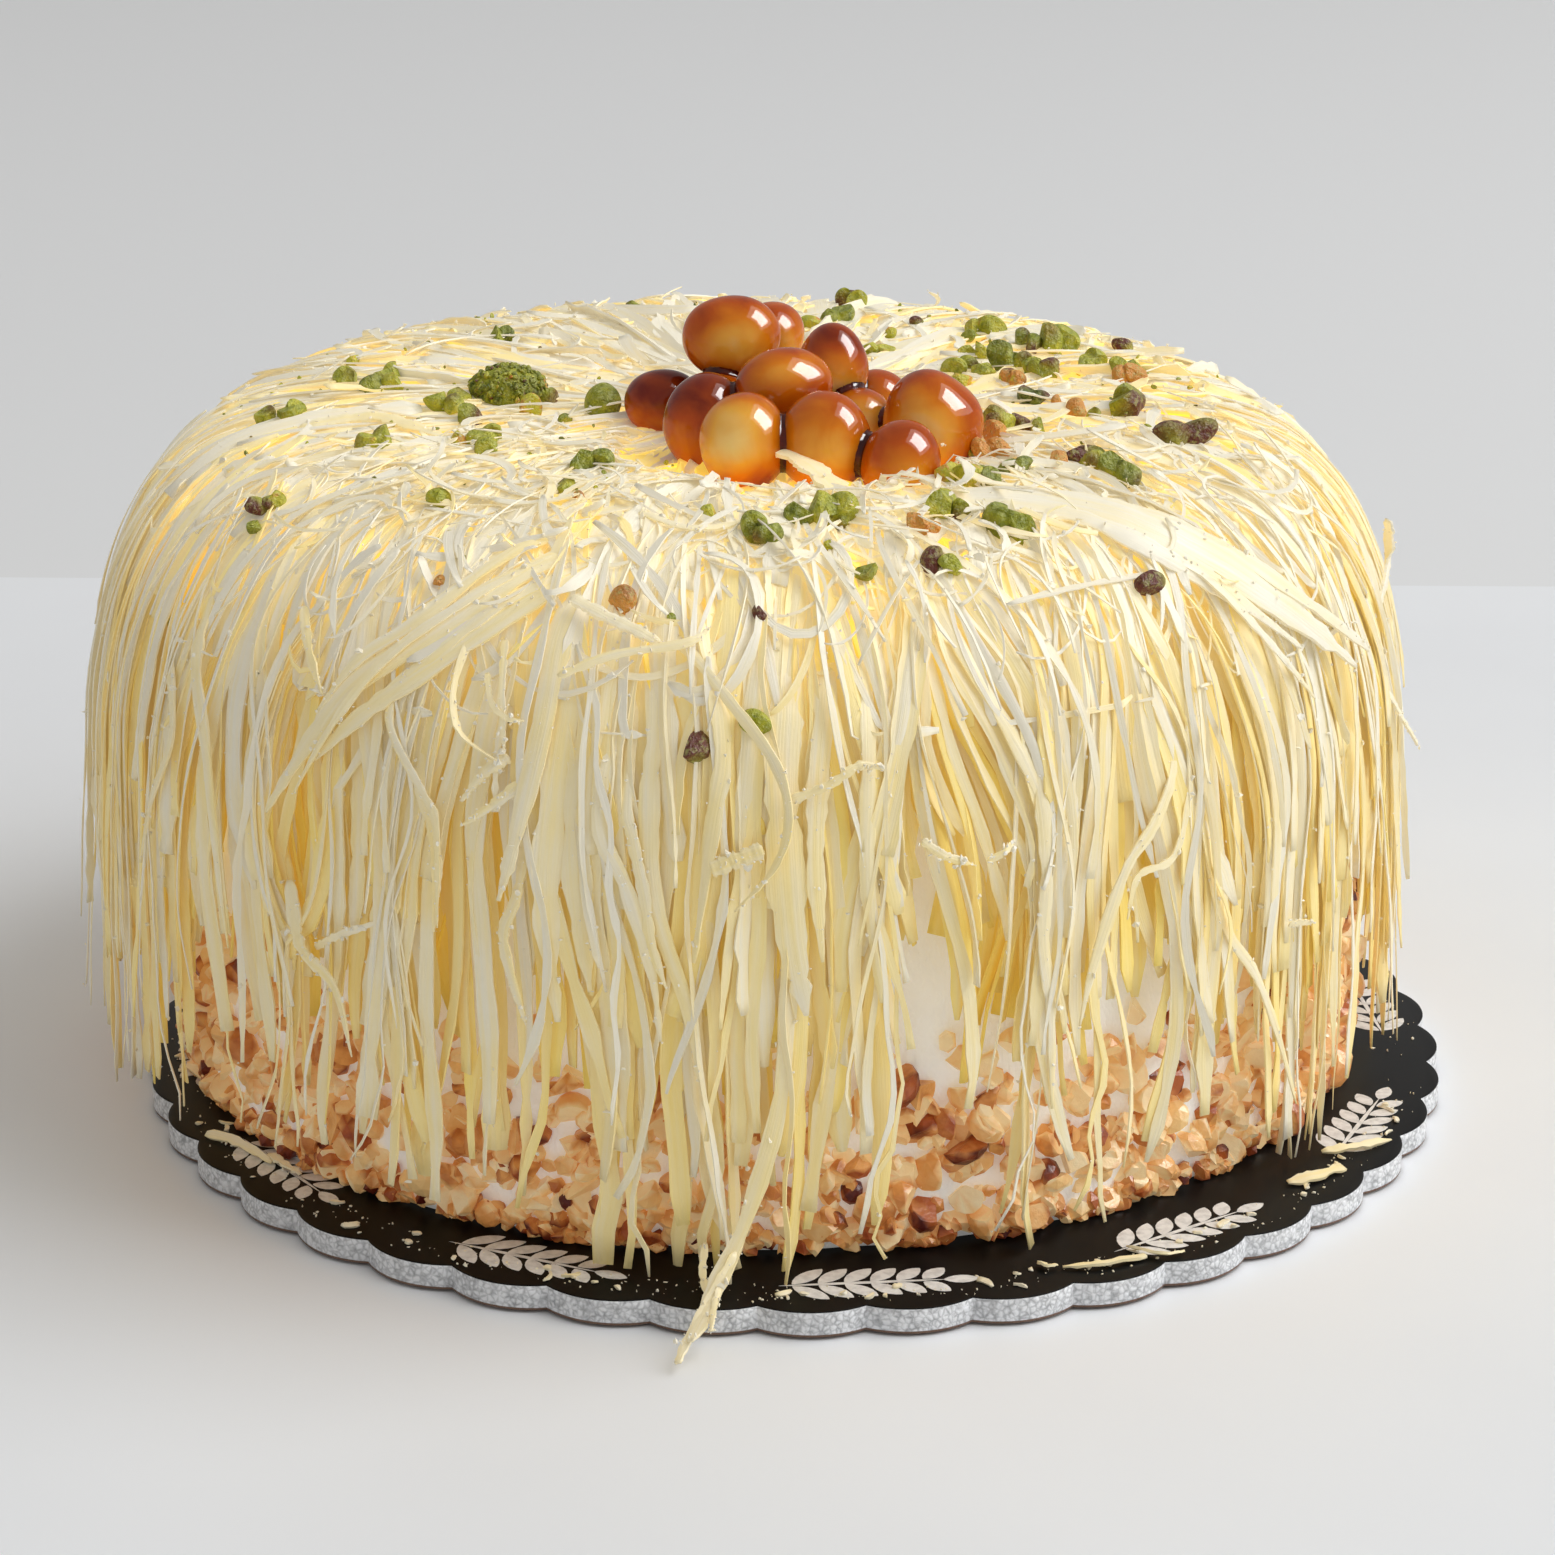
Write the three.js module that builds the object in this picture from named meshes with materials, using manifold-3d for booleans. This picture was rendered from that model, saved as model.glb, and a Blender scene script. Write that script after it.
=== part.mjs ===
// A banana cake on its scalloped cake board: a cream-covered round cake with a crust of chopped nuts
// round its foot, a thick coat of white-chocolate shavings that hangs down its side, a pile of glazed
// hazelnuts on top and chopped pistachios scattered over it.
//
// Millimetres, +Z up. The origin is the centre of the board's underside. -Y is the front.
import * as THREE from 'three';
import { mergeVertices } from 'three/addons/utils/BufferGeometryUtils.js';
import Module from 'manifold-3d';

// ---------------------------------------------------------------- driving dimensions

const GAP = 0.3;                 // air between two pieces that touch
const SHORTEST_EDGE = 0.08;

const BOARD = {
  thickness: 5,
  peakRadius: 130,               // to the top of each scallop
  cuspRadius: 127.4,             // to the notch between two scallops
  scallops: 42,
  firstCusp: THREE.MathUtils.degToRad(1.5),
  pointsPerScallop: 5,
};

const CAKE = {
  centre: new THREE.Vector2(-6, 10),
  bottom: BOARD.thickness + GAP,
  wallRadius: 116.6,
  // radius and height of the cream's rounded shoulder, from the top down
  shoulder: [[62, 121], [92, 117.5], [104, 110.5], [110.5, 100], [113.8, 84]],
  crown: 122.5,
};

const CRUST = {                  // chopped nuts pressed into the cream round the foot
  top: 47,
  pieceSize: 6.6,                // spacing of the bumps
  depth: 2.8,                    // how far the bumps stand out
  looseChunks: 40,
};

const COAT = {                   // the shavings, as one coat with a hanging hem
  centre: new THREE.Vector2(-9.75, 11),
  // radius and height of the coat's outside, from the middle of the top to the shoulder's foot
  profile: [[0, 131], [40, 132.5], [65, 134.5], [88, 133.5], [104, 129], [114, 121], [121.5, 109],
    [126.5, 94], [129, 75]],
  sink: 1.6,                     // the coat's own face lies this much under the strands on it
  locks: 66,                     // hanging locks round the hem
  ridge: 1.1,                    // height of a lock's ridge above the mean face
  slotTop: 52,                   // mean height where the locks part
  // angle in degrees and mean height of the hem there: long locks in front, shorter over the open places
  hem: [[-180, 26], [-150, 22], [-135, 34], [-118, 26], [-104, 20], [-90, 12], [-80, 36], [-68, 34],
    [-60, 16], [-50, 38], [-38, 14], [-25, 26], [0, 24], [90, 20], [180, 26]],
  hemSpread: 9,                  // how far a lock ends above or below that
  lowestEnd: 7,
  hangRadius: 123.6,             // inside of the hanging curtain, which hangs closer on the right
  hangCentre: new THREE.Vector2(-7.3, 10.7),
};

const STRAND = {
  thickness: 3.8,
  proud: 0.7,                    // how far its outer face stands out of the coat's outside
  widest: 7,
  narrowest: 3.6,
};

const random = seededRandom(20260);

// ---------------------------------------------------------------- small tools

function seededRandom(seed) {
  let state = seed;
  return () => {
    state = (state + 0x6D2B79F5) | 0;
    let t = Math.imul(state ^ (state >>> 15), 1 | state);
    t = (t + Math.imul(t ^ (t >>> 7), 61 | t)) ^ t;
    return ((t ^ (t >>> 14)) >>> 0) / 4294967296;
  };
}

function between(low, high) {
  return low + (high - low) * random();
}

function degrees(angle) {
  return THREE.MathUtils.degToRad(angle);
}

// A closed geometry from corner points and triangles of corner numbers.
function solidGeometry(points, triangles) {
  const geometry = new THREE.BufferGeometry();
  const flat = points.flatMap((p) => [p.x, p.y, p.z]);
  geometry.setAttribute('position', new THREE.Float32BufferAttribute(flat, 3));
  geometry.setIndex(triangles);
  return geometry;
}

function onlyPositions(geometry) {
  const copy = geometry.clone();
  for (const name of Object.keys(copy.attributes)) {
    if (name !== 'position') {
      copy.deleteAttribute(name);
    }
  }
  return mergeVertices(copy, 1e-4);
}

const wasm = await Module();
wasm.setup();

function toManifold(geometry) {
  const merged = onlyPositions(geometry);
  return new wasm.Manifold(new wasm.Mesh({
    numProp: 3,
    vertProperties: new Float32Array(merged.attributes.position.array),
    triVerts: new Uint32Array(merged.index.array),
  }));
}

function fromManifold(solid) {
  const mesh = solid.getMesh();
  const geometry = new THREE.BufferGeometry();
  geometry.setAttribute('position', new THREE.BufferAttribute(new Float32Array(mesh.vertProperties), 3));
  geometry.setIndex(new THREE.BufferAttribute(new Uint32Array(mesh.triVerts), 1));
  return geometry;
}

function fuse(core, pieces) {
  return pieces.reduce((whole, piece) => whole.add(toManifold(piece)), toManifold(core));
}

// The largest body of a solid, without loose scraps and without edges too short to see.
function mainBody(solid) {
  const bodies = solid.simplify(SHORTEST_EDGE).decompose();
  return bodies.reduce((best, body) => (body.volume() > best.volume() ? body : best));
}

// A ring of points round a vertical axis, in order of angle.
function ring(centre, angles, radiusAt, heightAt) {
  const points = angles.map((angle, i) => {
    const radius = radiusAt(angle, i);
    const x = centre.x + radius * Math.cos(angle);
    const y = centre.y + radius * Math.sin(angle);
    return new THREE.Vector3(x, y, heightAt(angle, i));
  });
  return { points, angles };
}

function evenAngles(count, phase = 0) {
  return Array.from({ length: count }, (_, i) => ((i + phase) * 2 * Math.PI) / count);
}

// Closes rings of any number of points into one body: the first and last rings end in a pole.
function skinRings(rings, firstPole, lastPole) {
  const points = [firstPole];
  const starts = rings.map((one) => {
    const start = points.length;
    points.push(...one.points);
    return start;
  });
  points.push(lastPole);
  const triangles = [];
  const first = rings[0];
  const last = rings[rings.length - 1];
  first.points.forEach((_, i) => {
    const next = (i + 1) % first.points.length;
    triangles.push(0, starts[0] + i, starts[0] + next);
  });
  for (let k = 0; k + 1 < rings.length; k += 1) {
    stitch(triangles, rings[k], starts[k], rings[k + 1], starts[k + 1]);
  }
  const lastStart = starts[rings.length - 1];
  last.points.forEach((_, i) => {
    const next = (i + 1) % last.points.length;
    triangles.push(points.length - 1, lastStart + next, lastStart + i);
  });
  return solidGeometry(points, triangles);
}

// Triangles between two rings, each step taken on the ring whose next point comes first.
function stitch(triangles, upper, upperStart, lower, lowerStart) {
  const turn = 2 * Math.PI;
  const a = upper.angles;
  const b = lower.angles;
  let i = 0;
  let j = 0;
  while (i < a.length || j < b.length) {
    const nextA = i < a.length ? a[(i + 1) % a.length] + (i + 1 >= a.length ? turn : 0) : Infinity;
    const nextB = j < b.length ? b[(j + 1) % b.length] + (j + 1 >= b.length ? turn : 0) : Infinity;
    const hereA = upperStart + (i % a.length);
    const hereB = lowerStart + (j % b.length);
    if (nextA <= nextB) {
      triangles.push(hereA, hereB, upperStart + ((i + 1) % a.length));
      i += 1;
    } else {
      triangles.push(hereA, hereB, lowerStart + ((j + 1) % b.length));
      j += 1;
    }
  }
}

// ---------------------------------------------------------------- the board

function boardGeometry() {
  const { scallops, cuspRadius, peakRadius, pointsPerScallop, firstCusp, thickness } = BOARD;
  const halfTurn = Math.PI / scallops;
  const halfChord = cuspRadius * Math.sin(halfTurn);
  const rise = peakRadius - cuspRadius * Math.cos(halfTurn);
  const arcRadius = (halfChord ** 2 + rise ** 2) / (2 * rise);
  const arcHalfAngle = Math.asin(halfChord / arcRadius);
  const outline = [];
  for (let s = 0; s < scallops; s += 1) {
    const middle = firstCusp + (2 * s + 1) * halfTurn;
    const centre = new THREE.Vector2(Math.cos(middle), Math.sin(middle)).multiplyScalar(peakRadius - arcRadius);
    for (let k = 0; k < pointsPerScallop; k += 1) {
      const angle = middle + arcHalfAngle * ((2 * k) / pointsPerScallop - 1);
      outline.push(new THREE.Vector2(
        centre.x + arcRadius * Math.cos(angle),
        centre.y + arcRadius * Math.sin(angle),
      ));
    }
  }
  return new THREE.ExtrudeGeometry(new THREE.Shape(outline), {
    depth: thickness,
    bevelEnabled: false,
    steps: 1,
  });
}

// ---------------------------------------------------------------- the cake and its nut crust

// A chopped nut: a small box with every corner moved by its own amount.
function chunkGeometry(size, centre, turn) {
  const box = new THREE.BoxGeometry(size, size * between(0.6, 0.9), size * between(0.5, 0.8));
  const geometry = onlyPositions(box);
  const position = geometry.attributes.position;
  const corner = new THREE.Vector3();
  for (let i = 0; i < position.count; i += 1) {
    corner.fromBufferAttribute(position, i);
    corner.multiplyScalar(between(0.75, 1.1));
    position.setXYZ(i, corner.x, corner.y, corner.z);
  }
  geometry.applyMatrix4(new THREE.Matrix4().makeRotationFromEuler(turn));
  geometry.translate(centre.x, centre.y, centre.z);
  return geometry;
}

function anyTurn() {
  return new THREE.Euler(between(0, Math.PI), between(0, Math.PI), between(0, Math.PI));
}

const CREAM_ANGLES = evenAngles(48);

function cakeSolid() {
  const { centre, bottom, wallRadius, shoulder, crown } = CAKE;
  const columns = Math.round((2 * Math.PI * wallRadius) / CRUST.pieceSize);
  const rows = Math.round((CRUST.top - bottom) / CRUST.pieceSize) + 1;
  const rings = shoulder.map(([radius, height]) => ring(centre, CREAM_ANGLES, () => radius, () => height));
  rings.push(ring(centre, CREAM_ANGLES, () => wallRadius, () => CRUST.top + 12));
  for (let row = 0; row < rows; row += 1) {
    const height = CRUST.top - ((CRUST.top - bottom) * row) / (rows - 1);
    const onEdge = row === 0 || row === rows - 1;
    const reach = row === 0 ? 0.3 : 1;
    rings.push(ring(
      centre,
      evenAngles(columns, (row % 2) / 2 + 0.1),
      () => wallRadius + CRUST.depth * reach * random(),
      () => height + (onEdge ? 0 : between(-1.2, 1.2)),
    ));
  }
  const middleTop = new THREE.Vector3(centre.x, centre.y, crown);
  const middleBottom = new THREE.Vector3(centre.x, centre.y, bottom);
  const core = skinRings(rings, middleTop, middleBottom);
  const chunks = [];
  for (let i = 0; i < CRUST.looseChunks; i += 1) {
    const angle = ((i + between(0.1, 0.9)) * 2 * Math.PI) / CRUST.looseChunks;
    const size = between(4.2, 6.4);
    const height = bottom + size * 0.85 + (CRUST.top - bottom - size) * random() ** 1.3;
    const radius = wallRadius + CRUST.depth * 0.3;
    const place = new THREE.Vector3(
      centre.x + radius * Math.cos(angle),
      centre.y + radius * Math.sin(angle),
      height,
    );
    chunks.push(chunkGeometry(size, place, anyTurn()));
  }
  return mainBody(fuse(core, chunks));
}

// ---------------------------------------------------------------- the coat of shavings

const profilePath = COAT.profile.map(([radius, height]) => new THREE.Vector2(radius, height));
const curtainRadius = profilePath[profilePath.length - 1].x;
const profileLength = profilePath.slice(1).reduce((sum, p, i) => sum + p.distanceTo(profilePath[i]), 0);

// The coat's outside at a distance along the profile from the middle of the top: below the shoulder
// it hangs straight down. Gives a radius, a height and the outward normal in that plane.
function coatAt(distance) {
  let left = distance;
  for (let i = 0; i + 1 < profilePath.length; i += 1) {
    const from = profilePath[i];
    const to = profilePath[i + 1];
    const length = from.distanceTo(to);
    if (left <= length) {
      const along = to.clone().sub(from).normalize();
      const place = from.clone().addScaledVector(along, left);
      return { radius: place.x, height: place.y, normal: new THREE.Vector2(-along.y, along.x) };
    }
    left -= length;
  }
  const foot = profilePath[profilePath.length - 1];
  return { radius: foot.x, height: foot.y - left, normal: new THREE.Vector2(1, 0) };
}

function coatPoint(angle, distance, lift) {
  const { radius, height, normal } = coatAt(distance);
  const reach = radius + normal.x * lift;
  return new THREE.Vector3(
    COAT.centre.x + reach * Math.cos(angle),
    COAT.centre.y + reach * Math.sin(angle),
    height + normal.y * lift,
  );
}

function coatNormal(angle, distance) {
  const { normal } = coatAt(distance);
  return new THREE.Vector3(normal.x * Math.cos(angle), normal.x * Math.sin(angle), normal.y);
}

// The height at which a lock ends.
function lockEnd(angle) {
  const turn = THREE.MathUtils.euclideanModulo(THREE.MathUtils.radToDeg(angle) + 180, 360) - 180;
  const next = COAT.hem.findIndex(([at]) => at > turn);
  const [fromAngle, fromHeight] = COAT.hem[next - 1];
  const [toAngle, toHeight] = COAT.hem[next];
  const mean = THREE.MathUtils.mapLinear(turn, fromAngle, toAngle, fromHeight, toHeight);
  return Math.max(COAT.lowestEnd, mean + between(-COAT.hemSpread, COAT.hemSpread));
}

function coatCore() {
  const { locks, ridge, sink, centre, slotTop, hangRadius, hangCentre } = COAT;
  const step = (2 * Math.PI) / locks;
  const hemAngles = [];
  const hemHeights = [];
  const slotAngles = [];
  for (let i = 0; i < locks; i += 1) {
    const gapHalf = step * between(0.1, 0.2);
    const slot = step * (i + between(0.35, 0.65));
    const lockHeight = lockEnd(slot);
    slotAngles.push(slot);
    hemAngles.push(slot - gapHalf, slot, slot + gapHalf);
    hemHeights.push(lockHeight, slotTop + between(-7, 7), 0);
  }
  for (let i = 0; i < locks; i += 1) {
    const nextLock = (3 * i + 3) % hemHeights.length;
    hemHeights[3 * i + 2] = hemHeights[nextLock] + between(0, 4);
  }
  const pleatAngles = slotAngles.flatMap((slot, i) => {
    const next = i + 1 < locks ? slotAngles[i + 1] : slotAngles[0] + 2 * Math.PI;
    return [slot, (slot + next) / 2];
  });
  const pleats = pleatAngles.map((_, i) => (i % 2 ? between(0.3, 1) : between(-1, -0.4)) * ridge);
  const outerRing = (angles, distance, relief) => {
    const { radius, height, normal } = coatAt(distance);
    return ring(
      centre,
      angles,
      (_, i) => radius + normal.x * (relief(i) - sink),
      (_, i) => height + normal.y * (relief(i) - sink),
    );
  };
  const topRelief = () => between(-0.7, 0.7);
  const hemOuter = (_, i) => curtainRadius - sink - (i % 3 === 1 ? 1 : 0.3);
  const clear = GAP * 1.2;
  const lining = CAKE.shoulder.map(([radius, height]) => (
    ring(CAKE.centre, CREAM_ANGLES, () => radius + clear, () => height + clear)
  ));
  const coatRings = [
    outerRing(evenAngles(18), 30, topRelief),
    outerRing(evenAngles(36), 62, topRelief),
    outerRing(slotAngles, 88, topRelief),
    outerRing(slotAngles, 106, topRelief),
    outerRing(pleatAngles, 118, (i) => pleats[i] * 0.7),
    outerRing(pleatAngles, 140, (i) => pleats[i]),
    outerRing(pleatAngles, profileLength + 6, (i) => pleats[i]),
    ring(centre, hemAngles, hemOuter, (_, i) => hemHeights[i]),
    ring(hangCentre, hemAngles, () => hangRadius, (_, i) => hemHeights[i]),
    ring(hangCentre, CREAM_ANGLES, () => hangRadius - 0.6, () => slotTop + 12),
    ...lining.reverse(),
  ];
  const crown = new THREE.Vector3(centre.x, centre.y, COAT.profile[0][1] - sink);
  const underCrown = new THREE.Vector3(CAKE.centre.x, CAKE.centre.y, CAKE.crown + clear);
  return skinRings(coatRings, crown, underCrown);
}

// A flat strand along a list of stations, each with its middle, its outward normal and its half width.
function strandGeometry(stations, thickness) {
  const points = [];
  const triangles = [];
  stations.forEach((station, i) => {
    const before = stations[Math.max(0, i - 1)].middle;
    const after = stations[Math.min(stations.length - 1, i + 1)].middle;
    const along = after.clone().sub(before).normalize();
    const across = new THREE.Vector3().crossVectors(along, station.normal).normalize();
    const out = new THREE.Vector3().crossVectors(across, along).normalize();
    const corners = [[-1, -1], [1, -1], [1, 1], [-1, 1]];
    for (const [side, face] of corners) {
      points.push(station.middle.clone()
        .addScaledVector(across, side * station.half)
        .addScaledVector(out, (face * thickness) / 2));
    }
  });
  for (let i = 0; i + 1 < stations.length; i += 1) {
    for (let k = 0; k < 4; k += 1) {
      const a = 4 * i + k;
      const b = 4 * i + ((k + 1) % 4);
      triangles.push(a, b + 4, b, a, a + 4, b + 4);
    }
  }
  const last = 4 * (stations.length - 1);
  triangles.push(0, 1, 2, 0, 2, 3, last, last + 2, last + 1, last, last + 3, last + 2);
  return solidGeometry(points, triangles);
}

// A strand that lies on the coat from one angle and distance to another, swinging a little on its way.
function lyingStrand({ from, to, half, steps, swing = 0, lift = between(-0.3, 0.5) }) {
  const phase = between(0, 2 * Math.PI);
  const stations = [];
  for (let i = 0; i <= steps; i += 1) {
    const t = i / steps;
    const angle = THREE.MathUtils.lerp(from.angle, to.angle, t) + swing * Math.sin(phase + t * 5);
    const distance = THREE.MathUtils.lerp(from.distance, to.distance, t);
    const taper = 0.45 + 0.55 * Math.sin(Math.PI * (0.12 + 0.76 * t));
    stations.push({
      middle: coatPoint(angle, distance, lift + STRAND.proud - STRAND.thickness / 2),
      normal: coatNormal(angle, distance),
      half: half * taper,
    });
  }
  return strandGeometry(stations, STRAND.thickness);
}

// Strands that come over the shoulder and hang down the curtain.
function hangingStrands(count) {
  const strands = [];
  for (let i = 0; i < count; i += 1) {
    const angle = ((i + between(0.15, 0.85)) * 2 * Math.PI) / count;
    const start = between(92, 112);
    const end = profileLength + between(18, 42);
    strands.push(lyingStrand({
      from: { angle, distance: start },
      to: { angle: angle + between(-0.06, 0.06), distance: end },
      half: between(STRAND.narrowest, STRAND.widest) / 2,
      steps: 5,
      swing: 0.008,
    }));
  }
  return strands;
}

// Strands that lie on the top and point outward from the pile of nuts.
function topStrands(count) {
  const strands = [];
  for (let i = 0; i < count; i += 1) {
    const angle = ((i + random()) * 2 * Math.PI) / count;
    const start = between(40, 62);
    strands.push(lyingStrand({
      from: { angle, distance: start },
      to: { angle: angle + between(-0.25, 0.25), distance: start + between(28, 42) },
      half: between(STRAND.narrowest, STRAND.widest) / 2,
      steps: 3,
    }));
  }
  return strands;
}

// The two broad bundles that cross the front: one falls to the left, one sweeps to the right.
function broadBundles() {
  const leftFall = lyingStrand({
    from: { angle: degrees(-95), distance: 98 },
    to: { angle: degrees(-128), distance: 156 },
    half: 7,
    steps: 6,
    lift: 1.1,
  });
  const rightSweep = lyingStrand({
    from: { angle: degrees(-72), distance: 76 },
    to: { angle: degrees(-24), distance: 148 },
    half: 7.5,
    steps: 8,
    lift: 1.3,
  });
  return [leftFall, rightSweep];
}

// The long strand that leans from the hem over the board's edge.
function leaningStrand() {
  const route = [
    [-1, -114.6, 64],
    [-2.5, -118, 40],
    [-8, -122.5, 20],
    [-13, -129, 10.2],
    [-17, -138, 4.4],
    [-19, -143, 2.2],
  ];
  const outward = new THREE.Vector3(0, -0.7, 0.7);
  const stations = route.map(([x, y, z], i) => ({
    middle: new THREE.Vector3(x, y, z),
    normal: outward,
    half: 2.6 - 0.3 * i,
  }));
  return strandGeometry(stations, 1.6);
}

// ---------------------------------------------------------------- pistachios

// A chopped or whole pistachio: a faceted ball with every corner moved by its own amount.
function pistachioGeometry(length, width, height, roughness, detail) {
  const geometry = onlyPositions(new THREE.IcosahedronGeometry(0.5, detail));
  const position = geometry.attributes.position;
  for (let i = 0; i < position.count; i += 1) {
    const bump = 1 + between(-roughness, roughness);
    position.setXYZ(
      i,
      position.getX(i) * length * bump,
      position.getY(i) * width * bump,
      position.getZ(i) * height * bump,
    );
  }
  return geometry;
}

// The larger pieces lie mostly to the right of and behind the nuts, fewer on the left and in front.
const PISTACHIO_GROUPS = [
  { count: 7, angle: [10, 75], radius: [48, 88] },
  { count: 5, angle: [-75, 5], radius: [50, 92] },
  { count: 3, angle: [-130, -80], radius: [60, 98] },
  { count: 6, angle: [140, 235], radius: [48, 96] },
  { count: 3, angle: [80, 135], radius: [45, 90] },
];

function pistachioBits() {
  const bits = [];
  for (const { count, angle, radius } of PISTACHIO_GROUPS) {
    for (let i = 0; i < count; i += 1) {
      const turn = degrees(angle[0] + ((angle[1] - angle[0]) * (i + random())) / count);
      const distance = between(radius[0], radius[1]);
      const length = between(5, 9);
      const bit = pistachioGeometry(length, length * 0.65, length * 0.6, 0.16, 0);
      bit.rotateZ(between(0, Math.PI));
      const place = coatPoint(turn, distance, length * 0.12);
      bit.translate(place.x, place.y, place.z);
      bits.push(bit);
    }
  }
  return bits;
}

// ---------------------------------------------------------------- glazed hazelnuts

// Middle of each nut and its full size across, from front to back and in height. The lower layer lies
// in the shavings, the upper one on it.
const HAZELNUTS = [
  { at: [-13, -3.5, 150.0], size: [17.6, 14.2, 14.0], point: [-0.6, 0, 0.2] },
  { at: [-5, 7.8, 147.2], size: [12.0, 12.4, 12.4], point: [0.5, 0.4, 0.3] },
  { at: [-26.5, -1.5, 136.5], size: [13.0, 11.6, 11.2], point: [-0.5, 0.1, 0.4] },
  { at: [-17.6, -25.6, 138.6], size: [14.2, 14.0, 17.0], point: [0, -0.2, -0.6] },
  { at: [-3, -27.8, 146.0], size: [16.6, 13.6, 13.4], point: [0.6, 0, 0.2] },
  { at: [-10.6, -42.8, 138.9], size: [15.2, 15.4, 16.8], point: [0, 0.3, -0.7] },
  { at: [5.1, -43.3, 138.9], size: [15.2, 15.4, 16.6], point: [0, 0.2, -0.6] },
  { at: [6.7, -14.6, 146.8], size: [13.4, 12.6, 13.2], point: [0, 0, 1.2] },
  { at: [15.9, -7.2, 138.0], size: [11.8, 11.6, 12.0], point: [0.4, 0.4, 0.1] },
  { at: [12, -21, 137.4], size: [11.4, 11.4, 11.6], point: [0, 0.3, 0.2] },
  { at: [25.4, -30, 139.6], size: [17.0, 16.6, 17.6], point: [-0.3, 0.2, 0.5] },
  { at: [19.4, -47.6, 136.2], size: [13.2, 13.2, 13.6], point: [0.2, 0.1, 0.5] },
  { at: [-15.2, -10.4, 136.6], size: [13.2, 13.0, 12.8], point: [0, 0.5, 0] },
  { at: [-2.6, -13, 136.6], size: [12.2, 12.6, 12.4], point: [0.3, 0.5, 0] },
  { at: [-5.4, 3.2, 136.0], size: [12.6, 12.8, 12.2], point: [-0.2, 0.7, 0] },
];

function hazelnutGeometry({ at, size, point }, margin = 0) {
  const geometry = onlyPositions(new THREE.SphereGeometry(0.5, 10, 7));
  const position = geometry.attributes.position;
  const tip = new THREE.Vector3(...point);
  const direction = new THREE.Vector3();
  for (let i = 0; i < position.count; i += 1) {
    direction.fromBufferAttribute(position, i).normalize();
    const towardTip = Math.max(0, direction.dot(tip.clone().normalize()));
    const reach = 0.5 * (1 + 0.09 * tip.length() * towardTip ** 6);
    position.setXYZ(
      i,
      at[0] + direction.x * (size[0] * reach + margin),
      at[1] + direction.y * (size[1] * reach + margin),
      at[2] + direction.z * (size[2] * reach + margin),
    );
  }
  return geometry;
}

// ---------------------------------------------------------------- loose shreds on the board

// Each lies flat on the board: where it starts and ends, how far its middle bows, and its half width.
const LOOSE_SHREDS = [
  { from: [-112, -57], to: [-98, -70], bow: 2, half: 1.1 },
  { from: [48, -112.5], to: [63, -108], bow: 1.5, half: 0.9 },
  { from: [92, -76], to: [103, -69], bow: 2, half: 1.8 },
  { from: [100, -62], to: [114, -56], bow: -2, half: 1.0 },
];

function looseShredGeometry({ from, to, bow, half }) {
  const start = new THREE.Vector2(...from);
  const end = new THREE.Vector2(...to);
  const side = end.clone().sub(start).normalize().rotateAround(new THREE.Vector2(), Math.PI / 2);
  const thickness = 0.9;
  const stations = [];
  for (let i = 0; i <= 4; i += 1) {
    const t = i / 4;
    const bulge = bow * Math.sin(Math.PI * t);
    const place = start.clone().lerp(end, t).addScaledVector(side, bulge);
    stations.push({
      middle: new THREE.Vector3(place.x, place.y, BOARD.thickness + GAP + thickness / 2),
      normal: new THREE.Vector3(0, 0, 1),
      half: half * (0.5 + 0.5 * Math.sin(Math.PI * (0.1 + 0.8 * t))),
    });
  }
  return strandGeometry(stations, thickness);
}

// ---------------------------------------------------------------- assembly

const materials = {
  board: new THREE.MeshStandardMaterial({ color: 0x151412, roughness: 0.35 }),
  cake: new THREE.MeshStandardMaterial({ color: 0xe3c39a, roughness: 0.7 }),
  shavings: new THREE.MeshStandardMaterial({ color: 0xf3e9bd, roughness: 0.5 }),
  hazelnut: new THREE.MeshStandardMaterial({ color: 0xb35a1b, roughness: 0.12 }),
  pistachio: new THREE.MeshStandardMaterial({ color: 0x6b7a1f, roughness: 0.75 }),
};

const cake = new THREE.Group();
cake.name = 'banana_cake';

function addPiece(name, geometry, material) {
  const mesh = new THREE.Mesh(geometry, material);
  mesh.name = name;
  cake.add(mesh);
  return mesh;
}

const hazelnuts = HAZELNUTS.map((nut) => toManifold(hazelnutGeometry(nut)));
const hazelnutRooms = HAZELNUTS.map((nut) => toManifold(hazelnutGeometry(nut, GAP)));

// A large pistachio cluster on the left and a whole kernel beside the pile.
const clusterPlace = coatPoint(degrees(182), 47, 2.6);
const clusterGeometry = pistachioGeometry(15, 13, 9.5, 0.07, 1).translate(...clusterPlace);
const kernelPlace = new THREE.Vector3(-38, 2, 134.6);
const kernelGeometry = pistachioGeometry(7, 8.5, 8, 0.06, 1).translate(...kernelPlace);

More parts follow.
